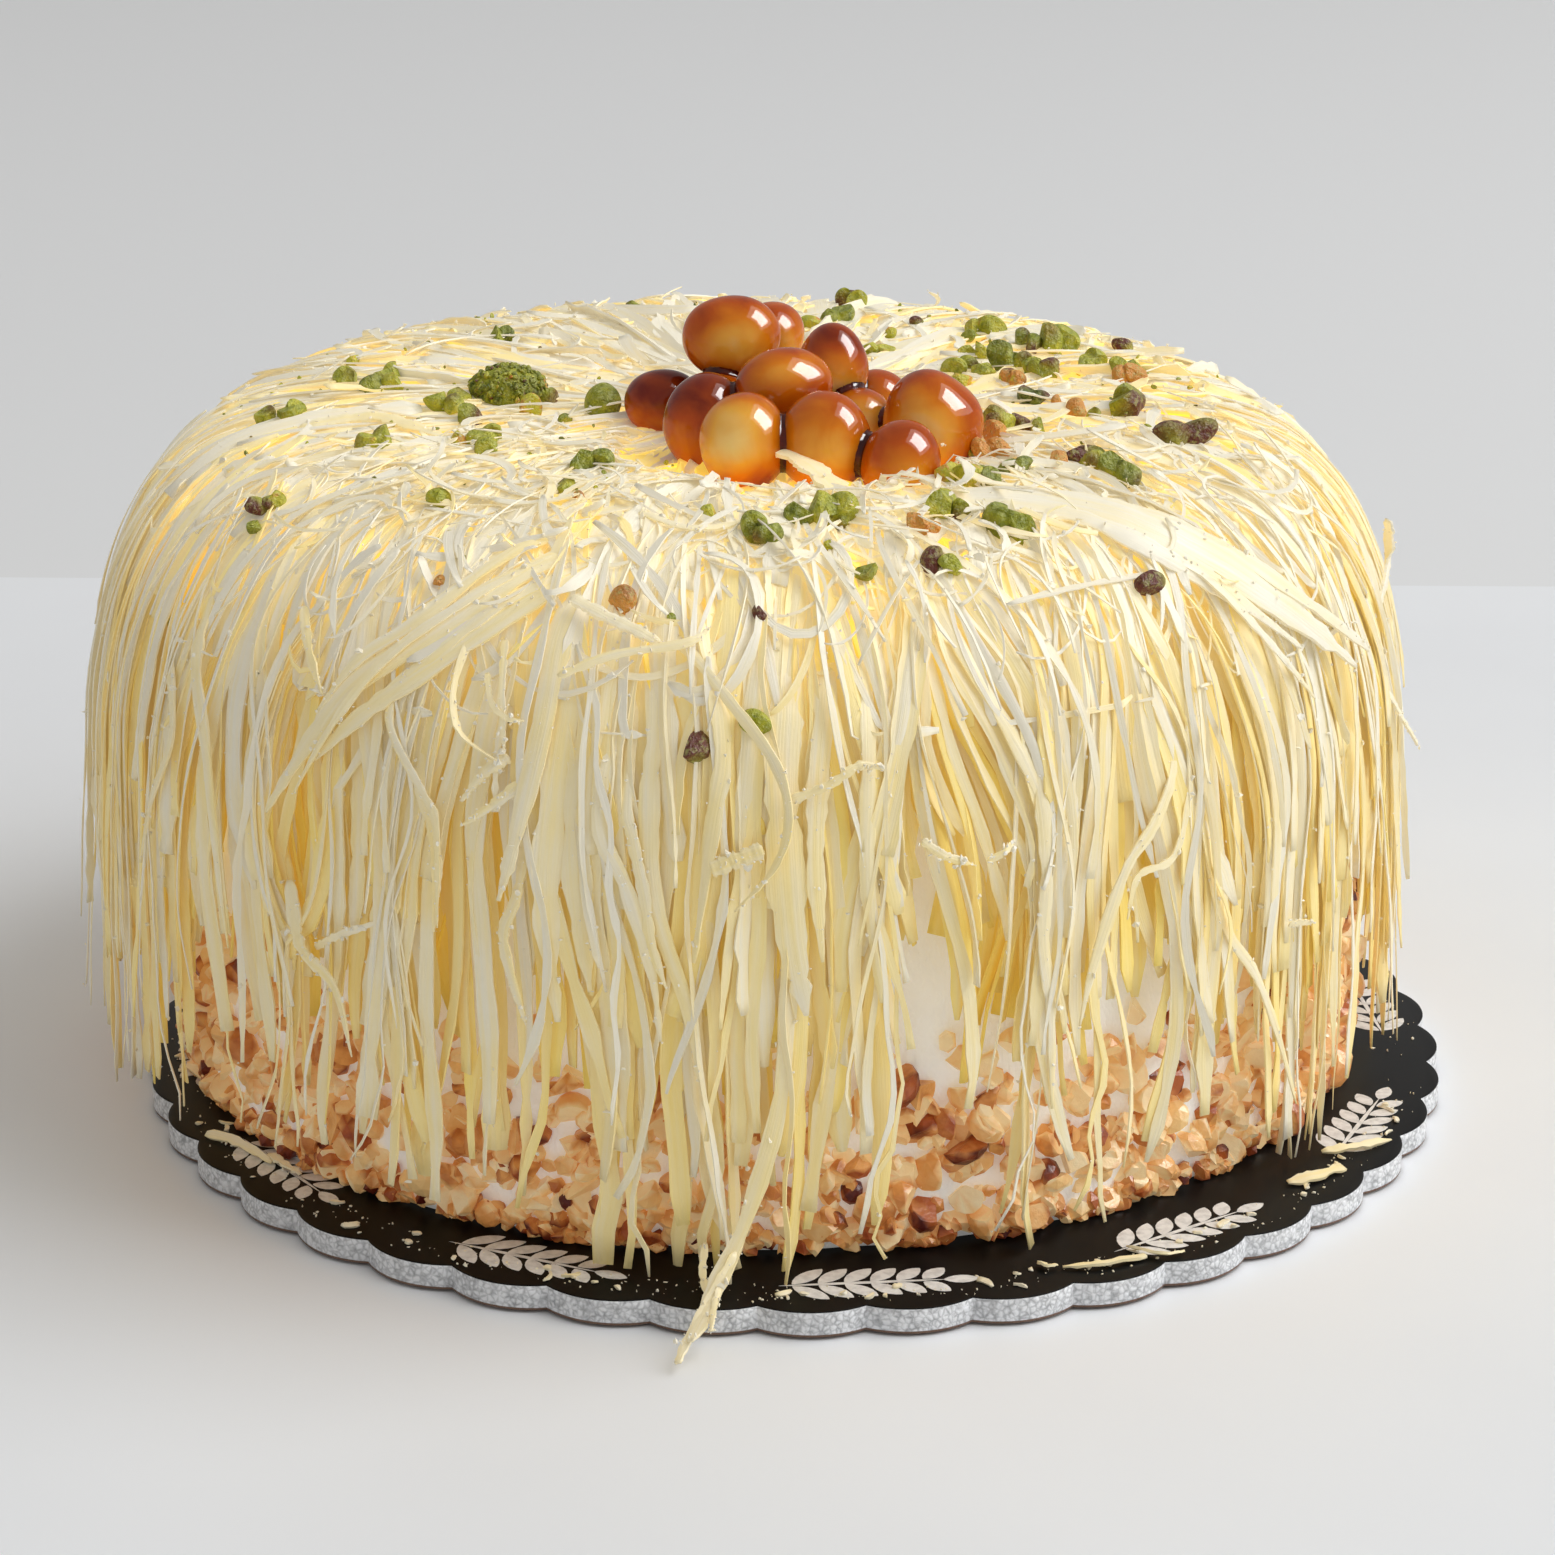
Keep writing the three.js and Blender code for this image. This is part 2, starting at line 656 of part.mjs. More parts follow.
let coat = fuse(coatCore(), [
  ...hangingStrands(26),
  ...topStrands(10),
  ...broadBundles(),
  leaningStrand(),
  ...pistachioBits(),
]);
for (const room of hazelnutRooms) {
  coat = coat.subtract(room);
}
for (const [geometry, place] of [[clusterGeometry, clusterPlace], [kernelGeometry, kernelPlace]]) {
  const room = geometry.clone();
  room.translate(-place.x, -place.y, -place.z).scale(1.1, 1.1, 1.1).translate(place.x, place.y, place.z);
  coat = coat.subtract(toManifold(room));
}

addPiece('board', boardGeometry(), materials.board);
addPiece('cake', fromManifold(cakeSolid()), materials.cake);
addPiece('shavings', fromManifold(mainBody(coat)), materials.shavings);
hazelnuts.forEach((nut, i) => {
  const shape = hazelnutRooms.slice(0, i).reduce((rest, room) => rest.subtract(room), nut);
  const name = `hazelnut_${String(i + 1).padStart(2, '0')}`;
  addPiece(name, fromManifold(mainBody(shape)), materials.hazelnut);
});
addPiece('pistachio_cluster', clusterGeometry, materials.pistachio);
addPiece('pistachio_kernel', kernelGeometry, materials.pistachio);
LOOSE_SHREDS.forEach((shred, i) => {
  addPiece(`loose_shred_${i + 1}`, looseShredGeometry(shred), materials.shavings);
});

export default cake;
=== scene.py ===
"""The looks of a banana cake: cream, a crust of chopped nuts, a coat of white-chocolate shavings, glazed
hazelnuts and pistachios on top, and the scalloped board under it.

Lengths in this script are millimetres until a mesh is made. +Z is up and -Y is the front.
"""
import math

import bpy
import numpy as np
from mathutils import Matrix, Vector


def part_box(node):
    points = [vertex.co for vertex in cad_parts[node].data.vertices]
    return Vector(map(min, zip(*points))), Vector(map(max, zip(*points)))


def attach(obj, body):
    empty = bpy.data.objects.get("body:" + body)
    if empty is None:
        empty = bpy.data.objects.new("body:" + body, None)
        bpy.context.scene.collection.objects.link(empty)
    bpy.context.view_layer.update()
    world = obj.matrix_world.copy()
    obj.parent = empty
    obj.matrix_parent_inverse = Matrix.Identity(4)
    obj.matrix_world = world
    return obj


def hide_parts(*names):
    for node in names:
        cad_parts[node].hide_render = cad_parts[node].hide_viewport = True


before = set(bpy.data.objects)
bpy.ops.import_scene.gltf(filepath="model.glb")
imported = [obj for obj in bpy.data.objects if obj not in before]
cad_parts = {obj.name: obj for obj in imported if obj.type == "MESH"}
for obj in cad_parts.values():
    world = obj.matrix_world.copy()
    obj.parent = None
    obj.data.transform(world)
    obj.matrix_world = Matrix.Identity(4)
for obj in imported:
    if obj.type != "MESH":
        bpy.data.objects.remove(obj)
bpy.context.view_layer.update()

MM = 0.001
TURN = 2 * math.pi

# ---------------------------------------------------------------- the camera, fitted to the round board

PICTURE = 1555                       # pixels across the picture
CAMERA_PLACE = np.array([0.0, -778.6, 326.3])
CAMERA_YAW, CAMERA_PITCH, CAMERA_ROLL = -0.0047, 0.3311, 0.0046
NEAREST, FARTHEST = 560, 1050        # how far from the camera the cake is looked for along a line of sight
SENSOR = 36.0
LENS = 95.55

# ---------------------------------------------------------------- sizes, as in the part's source

BOARD_THICKNESS = 5.0
PRINT_THICKNESS = 0.05
SPRIGS = 12
SPRIG_RADIUS = 118.6                 # from the middle of the board to the middle of a sprig
SCALLOPS = 42
SCALLOP_PEAK = 130.0
SCALLOP_CUSP = 127.4
FIRST_CUSP = math.radians(1.5)

CREAM_CENTRE = (-6.0, 10.0)
CREAM_RADIUS = 116.6
CREAM_LINE = [                       # radius and height up the cream's outside
    (116.2, 5.4), (116.6, 12), (116.6, 59), (113.8, 84), (110.5, 100), (104, 110.5), (92, 117.5), (62, 121),
    (30, 122.3),
]
CREAM_CROWN = 122.5
CRUST_TOP = 48.0

COAT_CENTRE = (-9.75, 11.0)
COAT_RADIUS = 129.0
SHOULDER_RADIUS = 88.0               # the dome is highest inside it, and falls away beyond it
STEEP_RADIUS = 112.0                 # from here outward a place on the coat is told by its height
DOME_EDGE = 124.0                    # where the dome has become the side
TOP_COAT = 9.5                       # thickness of the coat over the cream on top
COAT_LINE = [
    (0, 131), (40, 132.5), (65, 134.5), (SHOULDER_RADIUS, 133.5), (104, 129), (114, 121), (121.5, 109),
    (126.5, 94), (COAT_RADIUS, 75), (COAT_RADIUS, 0),
]
HEM = [                              # angle in degrees, height of the curtain's hem there
    (-180, 26), (-150, 22), (-135, 34), (-118, 26), (-104, 20), (-90, 12), (-82, 22), (-77, 48), (-70, 50),
    (-65, 26), (-60, 18), (-55, 40), (-49, 48), (-44, 26), (-38, 12), (-28, 26), (0, 24), (90, 20), (180, 26),
]
MEAN_HEM = 24.0

# Middle, size and point of each glazed hazelnut.
HAZELNUTS = [
    ((-12.8, -3.7, 149.2), (17.4, 14.4, 14.6), (-0.4, 0, -0.5)),
    ((-5.6, 7.6, 146.4), (12.0, 12.4, 12.6), (0.5, 0.4, 0.3)),
    ((-26.0, -2.2, 136.0), (13.4, 11.6, 11.2), (-0.5, 0.1, 0.4)),
    ((-17.2, -26.0, 138.0), (14.6, 14.4, 17.2), (0, -0.2, -0.6)),
    ((-3, -28.0, 145.2), (16.2, 14.0, 13.2), (0.6, 0, 0.2)),
    ((-9.8, -42.8, 138.3), (15.6, 15.4, 17.0), (0, 0.3, -0.7)),
    ((5.0, -43.3, 138.3), (15.6, 15.4, 16.8), (0, 0.2, -0.6)),
    ((6.4, -14.9, 145.8), (12.8, 12.6, 12.8), (0, 0, 1.9)),
    ((15.0, -7.8, 137.0), (11.8, 11.6, 12.0), (0.4, 0.4, 0.1)),
    ((11.6, -21.6, 136.6), (12.0, 12.0, 12.0), (0, 0.3, 0.2)),
    ((25.2, -30.2, 138.8), (17.0, 16.6, 17.6), (-0.3, 0.2, 0.5)),
    ((18.7, -47.6, 135.8), (13.6, 13.2, 13.8), (0.2, 0.1, 0.5)),
    ((-15.2, -10.4, 136.6), (13.2, 13.0, 12.8), (0, 0.5, 0)),
    ((-2.6, -13, 136.6), (12.2, 12.6, 12.4), (0.3, 0.5, 0)),
    ((-5.4, 3.2, 136.0), (12.6, 12.8, 12.2), (-0.2, 0.7, 0)),
]

NUTS_MIDDLE = (0.0, -24.0)           # where the heap of nuts stands in the shavings
NUTS_BED = 130.6                     # strands stay below this height under the heap

# ---------------------------------------------------------------- modelling tools


def deselect_all():
    """Leaves nothing selected, because an operator acts on all that is."""
    for thing in list(bpy.context.selected_objects):
        thing.select_set(False)
    bpy.context.view_layer.objects.active = None


def pick(piece):
    """Selects one piece alone and makes it active."""
    deselect_all()
    piece.select_set(True)
    bpy.context.view_layer.objects.active = piece


def settle(piece, name):
    """Puts the piece's place into its mesh, with its object at the origin."""
    pick(piece)
    bpy.ops.object.transform_apply(location=True, rotation=True, scale=True)
    piece.name = name
    piece.data.name = name
    return piece


def join_all(pieces):
    """Joins pieces into the first one."""
    pick(pieces[0])
    for piece in pieces:
        piece.select_set(True)
    bpy.ops.object.join()
    return bpy.context.object


def apply_modifier(piece, kind, **settings):
    """Adds a modifier and applies it."""
    pick(piece)
    modifier = piece.modifiers.new(kind.lower(), kind)
    for setting, value in settings.items():
        setattr(modifier, setting, value)
    bpy.ops.object.modifier_apply(modifier=modifier.name)


def corner_points(piece):
    """The piece's points in millimetres."""
    flat = np.empty(3 * len(piece.data.vertices))
    piece.data.vertices.foreach_get("co", flat)
    return flat.reshape(-1, 3) / MM


def move_points(piece, points):
    """Puts the piece's points where they are given, in millimetres."""
    piece.data.vertices.foreach_set("co", (points * MM).ravel())
    piece.data.update()


def mark_points(mesh, name, values):
    """Writes a number or a vector on every point, for the materials to read."""
    kind, field = ("FLOAT_VECTOR", "vector") if values.ndim == 2 else ("FLOAT", "value")
    mark = mesh.attributes.new(name, kind, "POINT")
    mark.data.foreach_set(field, values.astype(np.float32).ravel())


def sharpen_rims(mesh, rim):
    """Keeps the long edges of every strand crisp. A point on one knows how many points on the next one is."""
    ends = np.empty(2 * len(mesh.edges), int)
    mesh.edges.foreach_get("vertices", ends)
    first, second = ends.reshape(-1, 2).T
    sharp = mesh.attributes.new("sharp_edge", "BOOLEAN", "EDGE")
    sharp.data.foreach_set("value", np.abs(first - second) == rim[first])


def piece_from(name, batch, smooth=True):
    """One piece from a batch: points in millimetres, faces as arrays of equal-sided faces, and marks."""
    corners = np.concatenate([faces.ravel() for faces in batch["faces"]])
    sides = np.concatenate([np.full(len(faces), faces.shape[1]) for faces in batch["faces"]])
    mesh = bpy.data.meshes.new(name)
    mesh.vertices.add(len(batch["points"]))
    mesh.vertices.foreach_set("co", (batch["points"] * MM).astype(np.float32).ravel())
    mesh.loops.add(len(corners))
    mesh.loops.foreach_set("vertex_index", corners.astype(np.int32))
    mesh.polygons.add(len(sides))
    mesh.polygons.foreach_set("loop_start", (np.cumsum(sides) - sides).astype(np.int32))
    mesh.polygons.foreach_set("use_smooth", np.full(len(sides), smooth))
    for mark, values in batch["marks"].items():
        if mark != "rim":
            mark_points(mesh, mark, values)
    mesh.update(calc_edges=True)
    if "rim" in batch["marks"]:
        sharpen_rims(mesh, batch["marks"]["rim"])
    mesh.validate()
    piece = bpy.data.objects.new(name, mesh)
    bpy.context.scene.collection.objects.link(piece)
    return piece


def joined(batches):
    """Several batches as one."""
    faces = []
    start = 0
    for batch in batches:
        faces += [one + start for one in batch["faces"]]
        start += len(batch["points"])
    marks = {
        mark: np.concatenate([batch["marks"][mark] for batch in batches])
        for mark in batches[0]["marks"]
    }
    return {"points": np.concatenate([batch["points"] for batch in batches]), "faces": faces, "marks": marks}


def draw_up(piece, rises, close_top=False):
    """Makes a solid of a flat face, drawn up ring by ring, with its faces outward."""
    pick(piece)
    bpy.ops.object.mode_set(mode="EDIT")
    bpy.ops.mesh.select_all(action="SELECT")
    for rise in rises:
        bpy.ops.mesh.extrude_region_move(TRANSFORM_OT_translate={"value": (0, 0, rise * MM)})
    if close_top:
        bpy.ops.mesh.poke()
    bpy.ops.mesh.select_all(action="SELECT")
    bpy.ops.mesh.normals_make_consistent(inside=False)
    bpy.ops.object.mode_set(mode="OBJECT")


def triangles_of(piece):
    """Every face of a piece as triangles."""
    piece.data.calc_loop_triangles()
    flat = np.empty(3 * len(piece.data.loop_triangles), int)
    piece.data.loop_triangles.foreach_get("vertices", flat)
    return flat.reshape(-1, 3)


def any_turn(dice):
    """A random rotation."""
    w, x, y, z = dice.normal(size=4)
    length = math.sqrt(w * w + x * x + y * y + z * z)
    w, x, y, z = w / length, x / length, y / length, z / length
    return np.array([
        [1 - 2 * (y * y + z * z), 2 * (x * y - w * z), 2 * (x * z + w * y)],
        [2 * (x * y + w * z), 1 - 2 * (x * x + z * z), 2 * (y * z - w * x)],
        [2 * (x * z - w * y), 2 * (y * z + w * x), 1 - 2 * (x * x + y * y)],
    ])


def unit(vectors):
    """The same directions, one long."""
    return vectors / np.maximum(np.linalg.norm(vectors, axis=-1, keepdims=True), 1e-9)


# ---------------------------------------------------------------- the coat's outside


def rounded(line, rounds=3):
    """Cuts the corners off an open line, again and again."""
    line = np.array(line, float)
    for _ in range(rounds):
        near = line[:-1] * 0.75 + line[1:] * 0.25
        far = line[:-1] * 0.25 + line[1:] * 0.75
        cut = np.stack([near, far], 1).reshape(-1, 2)
        line = np.vstack([line[:1], cut, line[-1:]])
    return line


coat_line = rounded(COAT_LINE)
coat_steps = np.linalg.norm(np.diff(coat_line, axis=0), axis=1)
coat_way = np.concatenate([[0], np.cumsum(coat_steps)])          # distance from the middle of the top
coat_along = unit(np.gradient(coat_line, coat_way, axis=0))
shoulder = int(np.argmin(np.abs(coat_line[:, 0] - SHOULDER_RADIUS)))


def coat_radius(way):
    """Distance of the coat's outside from its axis."""
    return np.interp(way, coat_way, coat_line[:, 0])


def coat_height(way):
    """Height of the coat's outside."""
    return np.interp(way, coat_way, coat_line[:, 1])


def way_to_height(height):
    """How far down the coat a height is, below the shoulder."""
    return np.interp(-height, -coat_line[shoulder:, 1], coat_way[shoulder:])


def way_to_radius(radius):
    """How far from the middle of the top a radius is, on the dome."""
    last = int(np.argmin(np.abs(coat_line[:, 0] - DOME_EDGE)))
    return np.interp(radius, coat_line[:last, 0], coat_way[:last])


def coat_place(angle, way, lift):
    """Point and outward normal on the coat, lifted off it."""
    normal_out = -np.interp(way, coat_way, coat_along[:, 1])
    normal_up = np.interp(way, coat_way, coat_along[:, 0])
    reach = coat_radius(way) + normal_out * lift
    points = np.stack([
        COAT_CENTRE[0] + reach * np.cos(angle),
        COAT_CENTRE[1] + reach * np.sin(angle),
        coat_height(way) + normal_up * lift,
    ], -1)
    normals = np.stack([normal_out * np.cos(angle), normal_out * np.sin(angle), normal_up], -1)
    return points, unit(normals)


def room_to_cream(angle, way):
    """Thickness of the coat there."""
    dx = CREAM_CENTRE[0] - COAT_CENTRE[0]
    dy = CREAM_CENTRE[1] - COAT_CENTRE[1]
    toward = dx * np.cos(angle) + dy * np.sin(angle)
    aside = dx * np.sin(angle) - dy * np.cos(angle)
    at_wall = COAT_RADIUS - toward - np.sqrt(CREAM_RADIUS ** 2 - aside ** 2)
    down = np.clip((way - 95) / 40, 0, 1)
    return TOP_COAT * (1 - down) + at_wall * down


def kept_clear(points):
    """Holds strands out of the cream, and off the board."""
    dx = points[..., 0] - CREAM_CENTRE[0]
    dy = points[..., 1] - CREAM_CENTRE[1]
    reach = np.hypot(dx, dy)
    least = CREAM_RADIUS + np.interp(points[..., 2], [0, 40, 52, 95, 110], [4.4, 3.8, 0.9, 0.9, -30])
    push = np.maximum(least - reach, 0) / np.maximum(reach, 1)
    points[..., 0] += dx * push
    points[..., 1] += dy * push
    points[..., 2] = np.maximum(points[..., 2], BOARD_THICKNESS + 1.0)
    return points


def sight_line(px, py):
    """Direction from the camera through a pixel of the picture."""
    focal = LENS / SENSOR * PICTURE
    forward = np.array([
        math.sin(CAMERA_YAW) * math.cos(CAMERA_PITCH),
        math.cos(CAMERA_YAW) * math.cos(CAMERA_PITCH),
        -math.sin(CAMERA_PITCH),
    ])
    level = np.array([math.cos(CAMERA_YAW), -math.sin(CAMERA_YAW), 0.0])
    upright = np.cross(level, forward)
    right = math.cos(CAMERA_ROLL) * level + math.sin(CAMERA_ROLL) * upright
    up = -math.sin(CAMERA_ROLL) * level + math.cos(CAMERA_ROLL) * upright
    middle = PICTURE / 2
    return forward + right * (px - middle) / focal - up * (py - middle) / focal


def seen_on_coat(px, py):
    """Angle and way of the coat's point that shows at a pixel."""
    line = sight_line(px, py)
    steps = np.linspace(NEAREST, FARTHEST, 3000)[:, None]
    points = CAMERA_PLACE + steps * line
    reach = np.hypot(points[:, 0] - COAT_CENTRE[0], points[:, 1] - COAT_CENTRE[1])
    top = np.interp(reach, coat_line[:, 0], coat_line[:, 1], right=-1)
    inside = (points[:, 2] < top) & (reach < COAT_RADIUS)
    point = points[int(np.argmax(inside))]
    dx, dy = point[0] - COAT_CENTRE[0], point[1] - COAT_CENTRE[1]
    reach = math.hypot(dx, dy)
    way = way_to_radius(reach) if reach < STEEP_RADIUS else way_to_height(point[2])
    return math.atan2(dy, dx), float(way)


# ---------------------------------------------------------------- strands of white chocolate

SLIM = np.array([(-1, -1), (1, -1), (1, 1), (-1, 1)], float)
BROAD = np.array([(-1, -1), (0, -1), (1, -1), (1, 1), (0, 1), (-1, 1)], float)


def ribbons(dice, points, normals, half, thick, roll, tone_and_painted_glow, section=SLIM, cup=0.0):
    """Closed strands. Each row of points is the middle line of one strand."""
    along = unit(np.gradient(points, axis=1))
    across = unit(np.cross(along, normals))
    out = np.cross(across, along)
    turn_cos, turn_sin = np.cos(roll)[..., None], np.sin(roll)[..., None]
    side = (across * turn_cos + out * turn_sin)[:, :, None]
    face = (out * turn_cos - across * turn_sin)[:, :, None]
    u = section[:, 0][None, None, :, None]
    h = section[:, 1][None, None, :, None]
    wide = half[:, :, None, None]
    raised = h * thick[:, :, None, None] + cup * (1 - u * u) * wide
    corners = points[:, :, None] + side * u * wide + face * raised
    count, rows, sides = corners.shape[:3]
    first = (np.arange(count)[:, None, None] * rows + np.arange(rows - 1)[None, :, None]) * sides
    here = np.arange(sides)
    beside = (here + 1) % sides
    walls = np.stack([first + here, first + here + sides, first + beside + sides, first + beside], -1)
    starts = np.arange(count)[:, None] * rows * sides
    ends = np.concatenate([starts + here, starts + (rows - 1) * sides + here[::-1]])
    steps = np.linalg.norm(np.diff(points, axis=1), axis=2)
    length = np.concatenate([np.zeros((count, 1)), np.cumsum(steps, 1)], 1)
    shape = (count, rows, sides)
    grain = np.stack([
        np.broadcast_to((u * wide)[..., 0], shape),
        np.broadcast_to(length[:, :, None], shape),
        np.broadcast_to(dice.uniform(0, 60, (count, 1, 1)), shape),
    ], -1)
    tones = np.broadcast_to(tone_and_painted_glow[:, :, None], shape)
    rim = np.broadcast_to(np.abs(section[:, 0]) * sides, shape)
    return {
        "points": corners.reshape(-1, 3),
        "faces": [walls.reshape(-1, 4), ends],
        "marks": {"grain": grain.reshape(-1, 3), "tone_and_painted_glow": tones.ravel(), "rim": rim.ravel()},
    }


def wander(dice, way, size):
    """The gentle sideways swing of each strand along its way."""
    count = len(way)
    total = np.zeros_like(way)
    for wave, share in ((130, 1.0), (55, 0.5), (24, 0.16)):
        length = wave * dice.uniform(0.7, 1.3, (count, 1))
        phase = dice.uniform(0, TURN, (count, 1))
        total += size * share * dice.normal(0, 0.8, (count, 1)) * np.sin(TURN * way / length + phase)
    return total


def combing(dice):
    """How neighbouring strands swing together: a shift sideways for each place on the coat."""
    leans = [(int(dice.integers(3, 30)), dice.uniform(0, TURN), dice.normal(0, 0.04)) for _ in range(9)]
    swings = [
        (int(dice.integers(6, 48)), dice.uniform(0, TURN), dice.uniform(55, 150), dice.normal(0, 0.7))
        for _ in range(12)
    ]

    def aside(angle, way):
        """The shift at an angle round the cake and a way down the coat, in millimetres."""
        total = np.zeros_like(way)
        for number, phase, size in leans:
            total += size * np.sin(number * angle + phase) * (way - 100)
        for number, phase, wave, size in swings:
            total += size * np.sin(number * angle + phase + TURN * way / wave)
        return total

    return aside


def locks(dice, count):
    """Strands stick together in locks that draw in toward the hem."""
    middles = np.sort(dice.uniform(-math.pi, math.pi, count))
    pulls = dice.uniform(0.05, 0.55, count)

    def gathered(angle, way):
        """The strands' angles drawn toward the middle of their locks."""
        nearest = np.abs((angle[:, :1] - middles[None] + math.pi) % TURN - math.pi).argmin(1)
        off = (middles[nearest][:, None] - angle + math.pi) % TURN - math.pi
        return angle + off * pulls[nearest][:, None] * np.clip((way - 108) / 95, 0, 1)

    return gathered


def tapered(dice, count, rows, head=(0.02, 0.08), tail=(0.02, 0.16), ragged=0.07, stub=(0.3, 0.95)):
    """Share of a strand's full width along it: the ends thin out, and the edges are a little ragged."""
    row = np.linspace(0, 1, rows)[None]
    head = dice.uniform(*head, (count, 1))
    tail = dice.uniform(*tail, (count, 1))
    stub = dice.uniform(*stub, (count, 1))
    begin = np.clip(row / head + 0.3, 0, 1) ** 0.6
    finish = stub + (1 - stub) * np.clip((1 - row) / tail, 0, 1) ** 0.7
    rough = 1 + dice.normal(0, ragged, (count, rows)) * (1 + 2 * np.clip(row * 5 - 4, 0, 1))
    waves = dice.uniform(2, 7, (count, 1))
    rough += 0.13 * np.sin(TURN * (row * waves + dice.random((count, 1))))
    return begin * finish * np.clip(rough, 0.6, 1.4)


def strand_sizes(dice, count, rows, width, ragged, tail=(0.02, 0.16)):
    """Half width and half thickness along each strand."""
    share = tapered(dice, count, rows, tail=tail, ragged=ragged)
    half = 0.5 * width[:, None] * share
    thick = np.minimum((0.08 + 0.035 * width)[:, None] * (0.6 + 0.4 * share), half * 0.8)
    return half, thick


# Places where the strands part and the cream shows: angle and half width in degrees, lowest and highest
# point.
OPENINGS = [(-128.5, 4.2, 60, 117), (150, 3.6, 50, 96), (62, 3.4, 44, 88)]


def parted(angle, height, veil):
    """Pushes strands aside at the openings, all but the few of the veil."""
    for at, half, low, high in OPENINGS:
        middle, reach = (low + high) / 2, (high - low) / 2
        opened = np.sqrt(np.clip(1 - ((height - middle) / reach) ** 2, 0, 1)) * math.radians(half)
        off = (angle - math.radians(at) + math.pi) % TURN - math.pi
        weight = opened + 1e-6
        side = np.sign(np.sum(off * weight, 1, keepdims=True) + 1e-9)
        push = np.clip(opened - side * off, 0, None) * (np.abs(off) < math.radians(2.2 * half))
        angle = angle + np.where(veil, 0, side * push * 0.95)
    return angle


def hanging(dice, comb, gathered=None, *, count, depth, width, start, ends, rows, section=SLIM,
            tone_and_painted_glow, swing, flare=0.0, cup=0.0, ragged=0.07):
    """Strands that come over the shoulder and hang down the side."""
    row = np.linspace(0, 1, rows)[None]
    aim = -math.pi + TURN * (np.arange(count) + dice.random(count)) / count
    begin = dice.uniform(*start, (count, 1))
    foot = np.interp(dice.random(count), *ends)
    hem = np.interp(np.degrees(aim), *np.transpose(HEM)) - MEAN_HEM
    foot = np.maximum(foot + hem * np.clip((78 - foot) / 45, 0, 1), 6.5)[:, None]
    way = begin + (way_to_height(foot) - begin) * row
    slant = dice.normal(0, 0.02, (count, 1))
    slant = slant + (dice.random((count, 1)) < 0.08) * dice.normal(0, 0.2, (count, 1))
    curl = (dice.random((count, 1)) < 0.55) * dice.normal(0, 2.8, (count, 1))
    curl = curl * np.clip(row * 4 - 3, 0, 1) ** 2
    aside = wander(dice, way, swing) + slant * (way - 112) + curl + comb(aim[:, None] + 0 * way, way)
    free = np.clip((52 - coat_height(way)) / 40, 0, 1)
    aside = aside + free * wander(dice, way * 1.6, 2.0 * swing)
    angle = aim[:, None] + aside / np.maximum(coat_radius(way), 45)
    if gathered:
        angle = gathered(angle, way)
    angle = parted(angle, coat_height(way), dice.random((count, 1)) < 0.07)
    level = dice.uniform(*depth, (count, 1))
    lift = (level - 1) * room_to_cream(angle, way)
    lift = lift + wander(dice, way, 0.3) + flare * dice.random((count, 1)) ** 2 * row ** 3
    points, normals = coat_place(angle, way, lift)
    points = kept_clear(points)
    cup = cup * dice.choice([1.0, 1.0, 1.0, -0.7], (count, 1, 1, 1))
    widths = np.exp(dice.uniform(math.log(width[0]), math.log(width[1]), count)) * side_breadth(aim)
    half, thick = strand_sizes(dice, count, rows, widths, ragged)
    roll = dice.normal(0, 0.22, (count, 1)) + dice.normal(0, 0.3, (count, 1)) * (row - 0.4)
    if section is SLIM:
        roll = roll * 2
    # Deeper strands get a higher tone: yellower, with more painted glow, a painted stand-in for shade and
    # light shining through.
    deep = (depth[1] - level) / (depth[1] - depth[0]) * 0.3 - 0.15
    tones = np.clip(dice.normal(tone_and_painted_glow[0], tone_and_painted_glow[1], (count, 1)) + deep + 0 * row, 0, 1)
    return ribbons(dice, points, normals, half, thick, roll, tones, section, cup)


def side_breadth(angle):
    """Strands are broad in front and slim on the right."""
    stops = [-180, -125, -112, -82, -70, -20, 10, 180]
    shares = [1.1, 1.1, 1.2, 1.2, 0.95, 0.95, 1.0, 1.1]
    return np.interp(np.degrees(angle), stops, shares)


